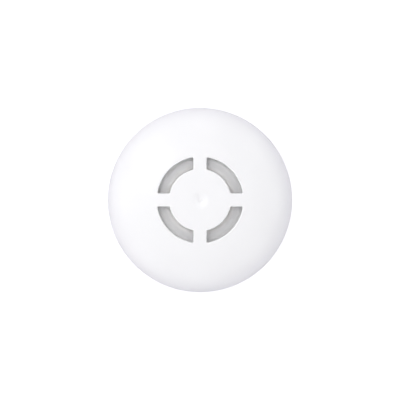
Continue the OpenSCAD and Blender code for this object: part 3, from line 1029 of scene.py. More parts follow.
    @staticmethod
    def _etched_band() -> NodeTree:
        """Lay out rows of one flat holed cell and roll them into a band round the Z axis.

        Returns:
            The tree.
        """
        bench, given, sink = growth("etched_band", {
            "Around": 48, "Rows": 4, "Radius": 0.0116, "Low": 0.012, "High": 0.018,
            "Centre": (0.0, 0.0, 0.0), "Finish": "NodeSocketMaterial",
        })
        turn = bench.maths("MULTIPLY", given["Radius"], math.tau)
        pitch = bench.maths("DIVIDE", turn, given["Around"])
        tall = bench.maths("SUBTRACT", given["High"], given["Low"])
        row = bench.maths("DIVIDE", tall, given["Rows"])
        total = bench.maths("MULTIPLY", given["Around"], given["Rows"])
        index = bench.out("GeometryNodeInputIndex")
        level = bench.maths("FLOOR", bench.maths("DIVIDE", bench.maths("ADD", index, 0.5), given["Around"]))
        column = bench.maths("SUBTRACT", index, bench.maths("MULTIPLY", level, given["Around"]))
        x = bench.maths("MULTIPLY", bench.maths("ADD", column, 0.5), pitch)
        z = bench.maths("MULTIPLY_ADD", bench.maths("ADD", level, 0.5), row, given["Low"])
        spot = bench.out("ShaderNodeCombineXYZ", i0=x, i2=z)
        dots = bench.out("GeometryNodePoints", Count=total, Position=spot)
        size = bench.out("ShaderNodeCombineXYZ", i0=pitch, i1=1.0, i2=row)
        cells = bench.out("GeometryNodeInstanceOnPoints", Points=dots, Instance=given["Geometry"],
                          Scale=size)
        flat = bench.out("GeometryNodeRealizeInstances", Geometry=cells)
        place = bench.add("ShaderNodeSeparateXYZ", i0=bench.out("GeometryNodeInputPosition")).outputs
        angle = bench.maths("DIVIDE", place[0], given["Radius"])
        ring_x = bench.maths("MULTIPLY", bench.maths("COSINE", angle), given["Radius"])
        ring_y = bench.maths("MULTIPLY", bench.maths("SINE", angle), given["Radius"])
        rolled = bench.out("ShaderNodeCombineXYZ", i0=ring_x, i1=ring_y, i2=place[2])
        centred = bench.out("ShaderNodeVectorMath", {"operation": "ADD"}, i0=rolled, i1=given["Centre"])
        band = bench.out("GeometryNodeSetPosition", Geometry=flat, Position=centred)
        joined = bench.out("GeometryNodeMergeByDistance", Geometry=band, Distance=0.00001)
        return delivered(bench, joined, given, sink)


# ---------------------------------------------------------------------------
# The case
# ---------------------------------------------------------------------------


HEEL_CORE = 20.0
HEEL_DEPTH = 12.8
SPRING_SPOTS = [polar(24.9, angle) for angle in (45.0, 135.0, 235.0, 305.0)]


def span(node: str) -> tuple[Vector, Vector]:
    """Give a CAD node's box in millimetres."""
    low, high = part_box(node)
    return low / MM, high / MM


def heel_radius(z: float, waist: float, radius: float) -> float:
    """Give the case's radius at a height below its widest line: a quarter ellipse about a core."""
    return HEEL_CORE + (radius - HEEL_CORE) * math.sqrt(1 - ((waist - z) / HEEL_DEPTH) ** 2)


@dataclass
class Assembly:
    """Pieces that belong together; those in edges keep the CAD node's shape, with its edges rounded."""

    growths: Growths
    palette: Palette
    edges: tuple[tuple[str, float], ...] = ()

    def placed(self, piece: Object, node: str, body: Body = Body.HEAD) -> Object:
        """Give a finished mesh its node's material and its body, and hide the CAD node whose place it takes.

        Args:
            piece: the finished mesh.
            node: the CAD node it stands for.
            body: the body it rides on.

        Returns:
            The same piece.
        """
        slot, finish = self.palette.of_node(node)
        piece.data.materials.clear()
        piece.data.materials.append(finish)
        piece.data.polygons.foreach_set("material_index", [0] * len(piece.data.polygons))
        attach(piece, body.value)
        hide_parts(node)
        return piece

    def modelled(self) -> list[Object]:
        """Make the pieces that are modelled anew."""
        return []

    def build(self) -> list[Object]:
        """Make every piece of the assembly, in the place of its CAD node."""
        copies = [self.placed(softened(node, f"fine_{node}", edge), node) for node, edge in self.edges]
        return copies + self.modelled()


@dataclass
class FrontCover(Assembly):
    """The pebble-shaped cover with its four arc slots: one seamless moulding, pressed to test."""

    waist: float = 11.0
    power: float = 2.5
    crown: float = 28.0
    crown_wall: float = 1.5
    dimple: Spot = (4.2, 0.3)
    well: Spot = (3.1, 0.65)
    gate: Spot = (0.75, 0.28)
    wall: float = 1.9
    rim: float = 7.6
    slot_in: float = 10.9
    slot_out: float = 15.15
    bridge: float = 4.6
    corner: float = 0.5
    fillet: float = 0.32
    cell_in: float = 7.6
    cell_out: float = 18.6
    arc_steps: int = 24
    corner_steps: int = 6
    side_steps: int = 6
    leg_angles: tuple[float, ...] = (90.0, 210.0, 330.0)
    leg_profile: tuple[Point, ...] = (
        (28.5, 14.0, 0.3), (28.5, 9.9, 0.25), (27.1, 9.5, 0.2), (27.3, 8.6, 0.25),
    )
    leg_middle: Spot = (29.4, 11.2)
    leg_slices: tuple[Spot, ...] = (
        (-2.1, 0.12), (-2.05, 0.04), (-1.95, 0.0), (1.95, 0.0), (2.05, 0.04), (2.1, 0.12),
    )
    post_pin: tuple[Point, ...] = (
        (0.0, 17.8, 0.0), (0.85, 17.8, 0.25), (0.85, 19.2, 0.15), (1.8, 19.2, 0.2), (1.8, 19.8, 0.0),
    )
    test_post: Spot = (21.2, 4.0)
    test_post_radius: float = 1.5
    post_overlap: float = 0.4
    radius: float = field(init=False)
    draft: Draft = field(init=False, default_factory=Draft)

    def __post_init__(self) -> None:
        """Take the radius from the CAD node."""
        self.radius = span("front_cover")[1].x

    def dome_point(self, spot: Spot, quarter: int, skin: float = 0.0, drop: float = 0.0) -> int:
        """Add a point of the dome in plan; the pebble tree lifts it later.

        Args:
            spot: the point in the first quarter.
            quarter: how many quarter turns it is moved on by.
            skin: how far through the wall it lies.
            drop: how far it is let down for an edge's rounding.

        Returns:
            Its index.
        """
        x, y = spot
        for _ in range(quarter):
            x, y = -y, x
        return self.draft.point(x, y, -10.0 * skin - drop, skin=skin, on_dome=1.0, drop=drop * MM)

    def slot_loop(self, grow: float) -> list[Spot]:
        """Walk round the first quarter's slot, grown outwards a little.

        Args:
            grow: how far outside the slot's wall the loop runs.

        Returns:
            The loop: outer arc, side, inner arc, side, with round corners.
        """
        c = self.corner
        h = self.bridge / 2 + c
        near = math.sqrt((self.slot_in + c) ** 2 - h * h)
        far = math.sqrt((self.slot_out - c) ** 2 - h * h)
        at_b, at_c = math.atan2(h, far), math.atan2(far, h)
        at_d, at_a = math.atan2(near, h), math.atan2(h, near)
        r = c + grow
        edge = self.bridge / 2 - grow
        half = math.pi / 2
        loop = arc((0, 0), self.slot_out + grow, at_b, at_c, self.arc_steps)
        loop += arc((h, far), r, at_c, math.pi, self.corner_steps)
        loop += straight((edge, far), (edge, near), self.side_steps)
        loop += arc((h, near), r, math.pi, at_d + math.pi, self.corner_steps)
        loop += arc((0, 0), self.slot_in - grow, at_d, at_a, self.arc_steps)
        loop += arc((near, h), r, at_a + math.pi, 3 * half, self.corner_steps)
        loop += straight((near, edge), (far, edge), self.side_steps)
        loop += arc((far, h), r, -half, at_b, self.corner_steps)
        return loop

    def cell_loop(self) -> list[Spot]:
        """Walk round the first quarter of the band that the slot lies in.

        Returns:
            A loop of as many points as the slot's, starting level with it.
        """
        half = math.pi / 2
        along = self.arc_steps + self.corner_steps
        across = self.side_steps + self.corner_steps
        loop = arc((0, 0), self.cell_out, 0, half, along)
        loop += straight((0, self.cell_out), (0, self.cell_in), across)
        loop += arc((0, 0), self.cell_in, half, 0, along)
        loop += straight((self.cell_in, 0), (self.cell_out, 0), across)
        shift = self.corner_steps // 2
        return loop[shift:] + loop[:shift]

    def slot_band(self, quarter: int, skin: float, steps: int = 6) -> list[int]:
        """Fill from the band's edge to the slot's edge in one quarter.

        Args:
            quarter: which quarter.
            skin: the outer face at 0, the inner at 1.
            steps: how many loops lie between.

        Returns:
            The last loop, at the slot's rounding.
        """
        outside = self.cell_loop()
        inside = self.slot_loop(self.fillet)
        loops = []
        for k in range(steps + 1):
            share = (k / steps) ** 0.85
            ring = []
            for a, b in zip(outside, inside):
                spot = tuple(p + (q - p) * share for p, q in zip(a, b))
                along = math.hypot(*a) + (math.hypot(*b) - math.hypot(*a)) * share
                scale = along / math.hypot(*spot)
                ring.append(self.dome_point((spot[0] * scale, spot[1] * scale), quarter, skin))
            loops.append(ring)
        self.draft.lofted(loops)
        return loops[-1]

    def slot_wall(self, quarter: int, outer: list[int], inner: list[int]) -> None:
        """Line one slot: round its outer edge, then go down to the inner face.

        Args:
            quarter: which quarter.
            outer: the loop on the outer face.
            inner: the loop on the inner face.
        """
        loops = [outer]
        for k in range(1, 5):
            turn = math.pi / 2 * k / 4
            spots = self.slot_loop(self.fillet * (1 - math.sin(turn)))
            drop = self.fillet * (1 - math.cos(turn))
            loops.append([self.dome_point(p, quarter, 0.0, drop) for p in spots])
        for share in (0.35, 0.6, 0.85):
            loops.append([self.dome_point(p, quarter, share) for p in self.slot_loop(0.0)])
        loops.append([self.dome_point(p, quarter, 0.97) for p in self.slot_loop(self.fillet * 0.35)])
        loops.append(inner)
        self.draft.lofted(loops)

    def columns(self) -> list[float]:
        """Give the angles of the mesh's columns round the whole case."""
        along = self.arc_steps + self.corner_steps
        return [math.pi / 2 * i / along for i in range(4 * along)]

    def dome_ring(self, r: float, skin: float) -> list[int]:
        """Add a full ring of the dome.

        Args:
            r: the ring's radius.
            skin: the outer face at 0, the inner at 1.

        Returns:
            The ring's points.
        """
        along = self.arc_steps + self.corner_steps
        quarter_spots = arc((0, 0), r, 0, math.pi / 2, along)
        return [self.dome_point(p, q, skin) for q in range(4) for p in quarter_spots]

    def crown_disc(self, skin: float) -> None:
        """Fill the crown inside the slots' band, closed with one pole.

        Args:
            skin: the outer face at 0, the inner at 1.
        """
        radii = [self.cell_in * (k / 26) ** 1.35 for k in range(26, 0, -1)]
        loops = [self.dome_ring(r, skin) for r in radii]
        self.draft.lofted(loops)
        pole = self.draft.point(0.0, 0.0, -10.0 * skin, skin=skin, on_dome=1.0, drop=0.0)
        count = len(loops[-1])
        for i in range(count):
            self.draft.faces.append((loops[-1][i], loops[-1][(i + 1) % count], pole))

    def shoulder(self, skin: float) -> list[int]:
        """Carry the dome from the slots' band out to the waist.

        Args:
            skin: the outer face at 0, the inner at 1.

        Returns:
            The ring at the waist.
        """
        reach = self.radius - self.wall * skin
        first = math.acos((self.cell_out / reach) ** (self.power / 2))
        loops = [self.dome_ring(self.cell_out, skin)]
        for k in range(1, 25):
            turn = first * (1 - k / 24)
            loops.append(self.dome_ring(reach * math.cos(turn) ** (2 / self.power), skin))
        self.draft.lofted(loops)
        return loops[-1]

    def skirt(self, outer: list[int], inner: list[int]) -> None:
        """Close the cover below the waist: the heel, the rounded lip and the inner wall.

        Args:
            outer: the outer ring at the waist.
            inner: the inner ring at the waist.
        """
        bore = self.radius - self.wall
        levels = [self.waist - (self.waist - self.rim) * k / 8 for k in range(1, 9)]
        line = [(heel_radius(z, self.waist, self.radius), z, 0.0) for z in levels]
        line[-1] = (*line[-1][:2], 0.45)
        line += [(bore, self.rim, 0.3), (bore, self.waist - 1.0, 0.0)]
        loops = [outer]
        for r, z in eased(line):
            level = z - self.waist
            loops.append([
                self.draft.point(r * math.cos(a), r * math.sin(a), level, skin=0.0, on_dome=0.0, drop=0.0)
                for a in self.columns()
            ])
        loops.append(inner)
        self.draft.lofted(loops)

    def shell(self) -> Object:
        """Make the shell: a plan in code, lifted to the dome by the pebble tree.

        Returns:
            The shell.
        """
        for quarter in range(4):
            self.slot_wall(quarter, self.slot_band(quarter, 0.0), self.slot_band(quarter, 1.0))
        for skin in (0.0, 1.0):
            self.crown_disc(skin)
        self.skirt(self.shoulder(0.0), self.shoulder(1.0))
        piece = self.draft.object("cover_shell")
        rise = self.crown - self.waist
        sizes = {
            "Waist_height": self.waist, "Outer_radius": self.radius, "Outer_rise": rise,
            "Inner_radius": self.radius - self.wall, "Inner_rise": rise - self.crown_wall,
            "Dimple_radius": self.dimple[0], "Dimple_depth": self.dimple[1], "Well_radius": self.well[0],
            "Well_depth": self.well[1], "Gate_radius": self.gate[0], "Gate_height": self.gate[1],
        }
        metres = {key: size * MM for key, size in sizes.items()}
        finish = self.palette.of_node("front_cover")[1]
        return grown(piece, self.growths.pebble, Power=self.power, Finish=finish, **metres)

    def under_dome(self, r: float) -> float:
        """Give the height of the cover's inside at a radius.

        Args:
            r: the radius.

        Returns:
            The height.
        """
        inner = self.radius - self.wall
        rise = self.crown - self.waist - self.crown_wall
        return self.waist + rise * (1 - (r / inner) ** self.power) ** (1 / self.power)

    def legs(self) -> Object:
        """Make the three snap legs with their hooks.

        Returns:
            The legs as one object.
        """
        draft = Draft()
        wall_in = self.radius - self.wall + 0.3
        top, foot = self.leg_profile[0][1], self.leg_profile[-1][1]
        outline = eased([*self.leg_profile, (wall_in, foot, 0.0), (wall_in, top, 0.0)], 3, True)
        for angle in self.leg_angles:
            turn = Matrix.Rotation(math.radians(angle), 3, "Z")
            loops = []
            for y, inset in self.leg_slices:
                mid = Vector(self.leg_middle)
                ring = []
                for p in outline:
                    flat = mid + (Vector(p) - mid) * (1 - inset / 2)
                    ring.append(draft.point(*(turn @ Vector((flat.x, y, flat.y)))))
                loops.append(ring)
            draft.lofted(loops)
            draft.faces.append(tuple(loops[0]))
            draft.faces.append(tuple(reversed(loops[-1])))
        return draft.object("cover_legs")

    def post(self, draft: Draft, foot: Sequence[Spot], centre: Spot, sides: int = 24) -> None:
        """Stand a round post under the dome, its top buried in the wall all round.

        Args:
            draft: the mesh it goes in.
            foot: its lower profile as radius and height, from the axis outwards and up.
            centre: its axis.
            sides: how many columns it has.
        """
        def buried(x: float, y: float) -> float:
            """Give a height just inside the wall above a point."""
            return self.under_dome(math.hypot(x, y)) + self.post_overlap

        loops = [[draft.point(*centre, foot[0][1])] * sides]
        for r, z in foot[1:]:
            spots = arc(centre, r, 0, math.tau, sides)
            loops.append([draft.point(x, y, z) for x, y in spots])
        loops.append([draft.point(x, y, buried(x, y)) for x, y in spots])
        loops.append([draft.point(*centre, buried(*centre))] * sides)
        draft.lofted(loops)

    def posts(self) -> Object:
        """Make the four spring posts with their pins, and the post that pushes the test switch.

        Returns:
            The posts as one object.
        """
        draft = Draft()
        for spot in SPRING_SPOTS:
            self.post(draft, eased(self.post_pin, 3), spot)
        foot = span("test_switch_stem")[1].z + SUNK
        r = self.test_post_radius
        tip = [(0.0, foot, 0.0), (r, foot, 0.3), (r, foot + 1, 0.0)]
        self.post(draft, eased(tip, 3), self.test_post)
        return draft.object("cover_posts")

    def modelled(self) -> list[Object]:
        """Make the whole cover."""
        piece = merged("moulded_front_cover", [self.shell(), self.legs(), self.posts()])
        return [self.placed(piece, "front_cover", Body.COVER)]


@dataclass
class RearHousing(Assembly):
    """The back of the case: a heel, a recess for the plate, and a wall of thirty vents behind the cover."""

    waist: float = 11.0
    floor: float = 5.2
    back: float = 4.0
    skirt: float = 0.6
    recess: float = 24.9
    wall_in: float = 26.9
    wall_out: float = 28.1
    wall_top: float = 15.0
    vents: int = 30
    vent: tuple[float, float, float] = (4.0, 5.6, 13.6)
    window: tuple[float, float, float] = (4.8, 7.6, 9.9)
    snap_angle: float = 90.0
    columns: int = 120
    side_steps: int = 6
    corner_steps: int = 4
    lug_angles: tuple[float, ...] = (30.0, 150.0, 270.0)
    tower_radius: float = 22.6
    tower: tuple[Point, ...] = (
        (1.05, 5.6, 0), (1.05, 9.6, 0.15), (2.4, 9.6, 0.2), (2.4, 5.1, 0), (0.0, 5.1, 0),
    )
    spring_post: tuple[Point, ...] = (
        (0, 5.1, 0), (1.65, 5.1, 0), (1.65, 13, 0.2), (0.85, 13, 0.12), (0.85, 14.4, 0.3), (0, 14.4, 0),
    )
    ledge: tuple[float, float, float, float] = (23.6, 25.2, 0.9, 1.9)
    ledge_turn: float = 8.0
    bay_gap: float = 0.15
    contact_room: float = 1.4
    plunger_bore: float = 1.35
    rail_half: float = 14.0
    rail_wall: float = 0.9
    rail_top: float = 9.2

    def pan(self) -> Object:
        """Turn the heel and the floor, and cut the battery bay and the plunger's hole.

        Returns:
            The pan.
        """
        radius = span("front_cover")[1].x
        levels = [self.skirt + (self.floor - self.skirt) * k / 9 for k in range(10)]
        outside = [(heel_radius(z, self.waist, radius), z, 0.0) for z in levels]
        outside[0] = (*outside[0][:2], 0.35)
        outside[-1] = (*outside[-1][:2], 0.45)
        line = [(0.0, self.back, 0.0), (self.recess, self.back, 0.3), (self.recess, self.skirt, 0.25)]
        line += outside + [(0.0, self.floor, 0.0)]
        pan = Draft().turned(eased(line), self.columns).object("housing_pan")
        cell_low, cell_high = span("battery_sleeve")
        half = (cell_high.x - cell_low.x) / 2 + self.contact_room
        plan = oblong(-half, cell_low.y - self.bay_gap, half, cell_high.y + self.bay_gap)
        bay = Draft().prism(plan, self.back - 1, self.floor + 1).object("bay")
        plunger_low, plunger_high = span("tamper_plunger")
        middle = (plunger_low + plunger_high) / 2
        bore = [(0.0, 3.0), (self.plunger_bore, 3.0), (self.plunger_bore, 7.0), (0.0, 7.0)]
        return cut(pan, [bay, Draft().turned(bore, 32, (middle.x, middle.y)).object("plunger_hole")])

    def hole(self, size: tuple[float, float, float], grow: float) -> list[Spot]:
        """Walk round a vent's opening, across and up.

        Args:
            size: its width, bottom and top.
            grow: how far outside the opening the loop runs.

        Returns:
            The loop, anticlockwise from the right side's foot.
        """
        width, low, high = size
        c = 0.35
        side = width / 2 + grow
        r = c + grow
        half = math.pi / 2
        bottom, top = low - grow, high + grow
        inner = side - r
        loop = straight((side, bottom + r), (side, top - r), self.side_steps)
        loop += arc((inner, top - r), r, 0, half, self.corner_steps)
        loop += straight((inner, top), (-inner, top), self.side_steps)
        loop += arc((-inner, top - r), r, half, 2 * half, self.corner_steps)
        loop += straight((-side, top - r), (-side, bottom + r), self.side_steps)
        loop += arc((-inner, bottom + r), r, 2 * half, 3 * half, self.corner_steps)
        loop += straight((-inner, bottom), (inner, bottom), self.side_steps)
        loop += arc((inner, bottom + r), r, 3 * half, 4 * half, self.corner_steps)
        return loop

    def frame_loop(self, low: float, high: float) -> list[Spot]:
        """Walk round one cell of the wall, as a share of its half width and a height.

        Args:
            low: the cell's foot.
            high: the cell's top.

        Returns:
            A loop of as many points as the opening's.
        """
        steps = self.side_steps + self.corner_steps
        loop = straight((1, low), (1, high), steps) + straight((1, high), (-1, high), steps)
        loop += straight((-1, high), (-1, low), steps) + straight((-1, low), (1, low), steps)
        shift = self.corner_steps // 2
        return loop[shift:] + loop[:shift]

    def wall_cell(self, name: str, size: tuple[float, float, float]) -> Object:
        """Make one cell of the wall with its opening, lying across the X axis.

        Args:
            name: the object's name.
            size: the opening's width, bottom and top.

        Returns:
            The cell.
        """
        draft = Draft()
        half = math.pi / self.vents
        ease = 0.2
        foot, head = self.floor - SUNK, self.wall_top - 0.3

        def put(r: float, angle: float, z: float) -> int:
            """Add a point by radius and angle."""
            return draft.point(r * math.cos(angle), r * math.sin(angle), z)

        edges = []
        for r, other in ((self.wall_out, self.wall_in), (self.wall_in, self.wall_out)):
            border = [put(r, share * half, z) for share, z in self.frame_loop(foot, head)]
            inward = ease if other > r else -ease
            ring = [put(r, math.asin(y / r), z) for y, z in self.hole(size, ease)]
            bend = [put(r + inward * 0.3, math.asin(y / r), z) for y, z in self.hole(size, ease * 0.3)]
            deep = [put(r + inward, math.asin(y / r), z) for y, z in self.hole(size, 0.0)]
            draft.lofted((border, ring, bend, deep))
            edges.append(deep)
        draft.join(*edges)
        steps = self.side_steps + self.corner_steps
        shares = [1 - 2 * k / steps for k in range(steps + 1)]
        for line in (
            eased([(self.wall_out, head, 0), (self.wall_out, self.wall_top, 0.28),
                   (self.wall_in, self.wall_top, 0.28), (self.wall_in, head, 0)], 3),
            [(self.wall_out, foot), (self.wall_in, foot)],
        ):
            strips = [[put(r, share * half, z) for share in shares] for r, z in line]
            draft.lofted(strips, closed=False)
        return draft.object(name)

    def wall(self) -> Object:
        """Grow the wall: vents all round, with a snap window in three places.

        Returns:
            The wall.
        """
        tree, finish = self.growths.round_array, self.palette.of_node("rear_housing")[1]
        pitch = math.tau / self.vents
        snap = math.radians(self.snap_angle)
        vents = grown(
            self.wall_cell("vent_cell", self.vent), tree, Count=self.vents, First=pitch / 2,
            Step=pitch, Leave_out_A=snap, Leave_out_B=snap, Clear=pitch / 2, Fold=3.0, Finish=finish,
        )
        windows = grown(
            self.wall_cell("snap_cell", self.window), tree, Count=3, First=snap,
            Step=math.tau / 3, Finish=finish,
        )
        wall = merged("housing_wall", [vents, windows])
        shape = bmesh.new()
        shape.from_mesh(wall.data)
        bmesh.ops.remove_doubles(shape, verts=shape.verts, dist=0.004 * MM)
        shape.to_mesh(wall.data)
        shape.free()
        smoothed(wall)
        return wall

    def fittings(self) -> list[Object]:
        """Make the ledges, the cell's rails, the screw towers and the spring posts.

        Returns:
            The fittings, closed and overlapping the pan.
        """
        ledges = Draft()
        near, far, low, high = self.ledge
        for angle in self.lug_angles:
            first, last = angle - self.ledge_turn, angle + self.ledge_turn
            start, end = math.radians(first), math.radians(last)
            plan = arc((0, 0), far, start, end, 12) + [polar(far, last)]
            plan += arc((0, 0), near, end, start, 12) + [polar(near, first)]
            ledges.prism(plan, low, high, 0.12)
        cell_low, cell_high = span("battery_sleeve")
        rails = Draft()
        for y in (cell_low.y - self.bay_gap - self.rail_wall, cell_high.y + self.bay_gap):
            plan = oblong(-self.rail_half, y, self.rail_half, y + self.rail_wall)
            rails.prism(plan, self.floor - SUNK, self.rail_top, 0.15)
        posts = Draft()
        pocket = (0.0, self.tower[0][1])
        for angle in self.lug_angles:
            posts.turned([pocket] + eased(self.tower, 3), 28, polar(self.tower_radius, angle))
        for spot in SPRING_SPOTS:
            posts.turned(eased(self.spring_post, 3), 24, spot)
        return [ledges.object("ledges"), rails.object("rails"), posts.object("posts")]

    def modelled(self) -> list[Object]:
        """Make the whole housing."""
        piece = merged("moulded_rear_housing", [self.pan(), self.wall(), *self.fittings()])
        return [self.placed(piece, "rear_housing")]


@dataclass
class WallPlate(Assembly):
    """The plate that stays on the wall or ceiling, with its bayonet lugs and tamper ramp."""

    edge: float = 0.28

    def modelled(self) -> list[Object]:
        """Make the plate."""
        piece = softened("mounting_plate", "moulded_plate", self.edge)
        return [self.placed(piece, "mounting_plate", Body.MOUNT)]


# ---------------------------------------------------------------------------
# Inside the case
# ---------------------------------------------------------------------------


@dataclass
class SounderDeck(Assembly):
    """The frame that carries the sounder disc and the light ring; its contact springs are grown in Wirework.
    """

    edges: tuple[tuple[str, float], ...] = (
        ("sounder_housing", 0.18), ("piezo_plate", 0.04), ("piezo_ceramic", 0.04), ("status_leds", 0.08),
    )
    collar: float = 1.2
    ring_in: float = 11.0
    ring_out: float = 16.8
    ring_edge: float = 24.15
    lip: float = 0.3
    lip_depth: float = 0.5
    pipe: float = 1.2
    pipe_spots: tuple[Spot, ...] = ((14.6, 5.3), (-14.6, 5.3))

    def light_ring(self) -> Object:
        """Turn the milky light ring, and stand its two light pipes under it.

        Returns:
            The finished ring.
        """
        low, high = span("light_ring")
        seat = span("sounder_housing")[1].z - self.collar
        outline = [
            (self.ring_in, seat, 0.2), (self.ring_out, seat, 0.2), (self.ring_out, self.ring_edge, 0.35),
            (self.ring_in - self.lip, high.z, 0.25), (self.ring_in - self.lip, high.z - self.lip_depth, 0.1),
            (self.ring_in, high.z - self.lip_depth - self.lip, 0.1),
        ]
        draft = Draft()
        draft.turned(eased(outline, 5, True), 160)
        top = seat + 0.3
        pipe = [(0, low.z, 0), (self.pipe, low.z, 0.2), (self.pipe, top, 0), (0, top, 0)]
        for spot in self.pipe_spots:
            draft.turned(eased(pipe, 4), 28, spot)
        return self.placed(draft.object("fine_light_ring"), "light_ring")

    def modelled(self) -> list[Object]:
        """Make the light ring."""
        return [self.light_ring()]


@dataclass
class SensingChamber(Assembly):
    """The dark chamber: base with light-trap vanes, cap, etched screen, emitter and shielded receiver."""

    centre: Spot = (0.0, 13.3)
    radius: float = 11.4
    floor: float = 12.0
    roof: float = 18.4
    vane_count: int = 20
    optics: Spot = (150.0, 30.0)
    optic_bore: float = 1.6
    beam: float = 15.2
    optic_clear: float = 22.0
    vane_plan: tuple[Spot, ...] = ((8, -0.8), (9.5, 0.3), (11.1, -0.8), (11.1, 0), (9.5, 1.1), (8, 0))
    screen_radius: float = 11.6
    screen_sheet: float = 0.16
    holes_around: int = 90
    hole_rows: int = 8
    hole_share: float = 0.33
    edges: tuple[tuple[str, float], ...] = (
        ("chamber_cap", 0.15), ("infrared_emitter", 0.06), ("photodiode", 0.06), ("photodiode_shield", 0.1),
    )

    def vane(self) -> Object:
        """Make one bent vane beside the X axis.

        Returns:
            The vane.
        """
        draft = Draft()
        loops = []
        for z, inset in ((self.floor - 0.05, 0.0), (self.roof - 0.1, 0.0), (self.roof, 0.1)):
            insets = [inset] * 3 + [-inset] * 3
            loops.append([draft.point(x, y + lean, z) for (x, y), lean in zip(self.vane_plan, insets)])
        draft.lofted(loops)
        for loop in (loops[0], loops[-1]):
            draft.faces += [(loop[0], loop[1], loop[4], loop[5]), (loop[1], loop[2], loop[3], loop[4])]
        return draft.object("vane")

    def holder(self, angle: float) -> Object:
        """Make one block that holds an optic, with its bore towards the middle.

        Args:
            angle: where it stands, in degrees.

        Returns:
            The block.
        """
        bore, beam = self.optic_bore, self.beam
        plan = oblong(6.6, -2.1, 10.4, 2.1)
        block = Draft().prism(plan, self.floor - 0.05, self.roof - 0.4, 0.12).object("holder")
        tool = Draft().turned([(0, 5), (bore, 5), (bore, 12), (0, 12)], 32).object("bore")
        tool.data.transform(Matrix.Translation((0, 0, beam * MM)) @ Matrix.Rotation(math.pi / 2, 4, "Y"))
        slot = Draft().prism(oblong(8.2, -bore, 11.2, bore), beam, 20).object("holder_slot")
        piece = cut(block, [tool, slot])
        piece.data.transform(Matrix.Rotation(math.radians(angle), 4, "Z"))
        return piece

    def base(self) -> Object:
        """Make the base with its vanes, two optic holders and the wall between them.

        Returns:
            The finished base.
        """
        step = math.tau / self.vane_count
        vanes = grown(
            self.vane(), self.growths.round_array, Count=self.vane_count, First=step / 2, Step=step,
            Leave_out_A=math.radians(self.optics[0]), Leave_out_B=math.radians(self.optics[1]),
            Clear=math.radians(self.optic_clear), Finish=self.palette.of_node("chamber_base")[1],
        )
        line = [(0, 10.8, 0), (self.radius, 10.8, 0.15), (self.radius, self.floor, 0.2), (0, self.floor, 0)]
        disc = Draft().turned(eased(line, 3), 96).object("chamber_floor")
        tools = []
        for angle in self.optics:
            tool = Draft().prism(oblong(10.2, -1.8, 13.2, 1.8), 9, 14).object("lead_gap")
            tool.data.transform(Matrix.Rotation(math.radians(angle), 4, "Z"))
            tools.append(tool)
        floor = cut(disc, tools)
        middle = Draft().prism(oblong(-0.5, 2.2, 0.5, 6.8), self.floor - 0.05, 17.0, 0.12)
        pieces = [floor, vanes, middle.object("middle_wall")] + [self.holder(a) for a in self.optics]
        piece = merged("fine_chamber_base", pieces)
        piece.data.transform(Matrix.Translation((self.centre[0] * MM, self.centre[1] * MM, 0)))
        smoothed(piece)
        return self.placed(piece, "chamber_base")

    def screen(self) -> Object:
        """Roll the etched insect screen from one holed cell.

        Returns:
            The finished screen.
        """
        cell = Draft()
        sides = 8
        rim, hole = [], []
        for x, z in arc((0, 0), 1.0, 0, math.tau, sides):
            reach = UNIT / 2 / max(abs(x), abs(z))
            rim.append(cell.point(x * reach, 0.0, z * reach))
            hole.append(cell.point(x * UNIT * self.hole_share, 0.0, z * UNIT * self.hole_share))
        cell.join(rim, hole)
        low, high = span("insect_screen")
        start = cell.object("fine_insect_screen")
        piece = grown(
            start, self.growths.etched_band, Around=self.holes_around, Rows=self.hole_rows,
            Radius=self.screen_radius * MM, Low=low.z * MM, High=high.z * MM,
            Centre=(self.centre[0] * MM, self.centre[1] * MM, 0.0),
            Finish=self.palette.of_node("insect_screen")[1],
        )
        sheet = piece.modifiers.new("sheet", "SOLIDIFY")
        sheet.thickness = self.screen_sheet * MM
        sheet.offset = 0.0
        settled(piece)
        smoothed(piece, 30.0)
        return self.placed(piece, "insect_screen")

    def modelled(self) -> list[Object]:
        """Make the base and the screen."""
        return [self.base(), self.screen()]


@dataclass
class Electronics(Assembly):
    """The circuit board and the parts soldered to it."""

    edges: tuple[tuple[str, float], ...] = (
        ("circuit_board", 0.08), ("microcontroller", 0.08), ("radio_module", 0.1), ("capacitor", 0.2),
        ("inductor", 0.1), ("thermistor", 0.05), ("test_switch", 0.15), ("tamper_switch", 0.15),
    )


@dataclass
class Battery(Assembly):
    """The lithium cell in its sleeve, between its two contacts."""

    edges: tuple[tuple[str, float], ...] = (
        ("battery_can", 0.4), ("battery_sleeve", 0.05), ("positive_contact", 0.08),
        ("negative_contact", 0.08),
    )


@dataclass
class MovingStems(Assembly):
    """The stems of the two switches and the tamper plunger."""

    stems: tuple[tuple[str, Body, float], ...] = (
        ("test_switch_stem", Body.TEST_STEM, 0.2), ("tamper_switch_stem", Body.TAMPER_PIN, 0.15),
        ("tamper_plunger", Body.TAMPER_PIN, 0.15),
    )

    def modelled(self) -> list[Object]:
        """Make the stems, each on its own body."""
        return [
            self.placed(softened(node, f"fine_{node}", edge), node, body) for node, body, edge in self.stems
        ]


@dataclass
class Fasteners(Assembly):
    """The three housing screws."""

    edges: tuple[tuple[str, float], ...] = (("housing_screws", 0.1),)


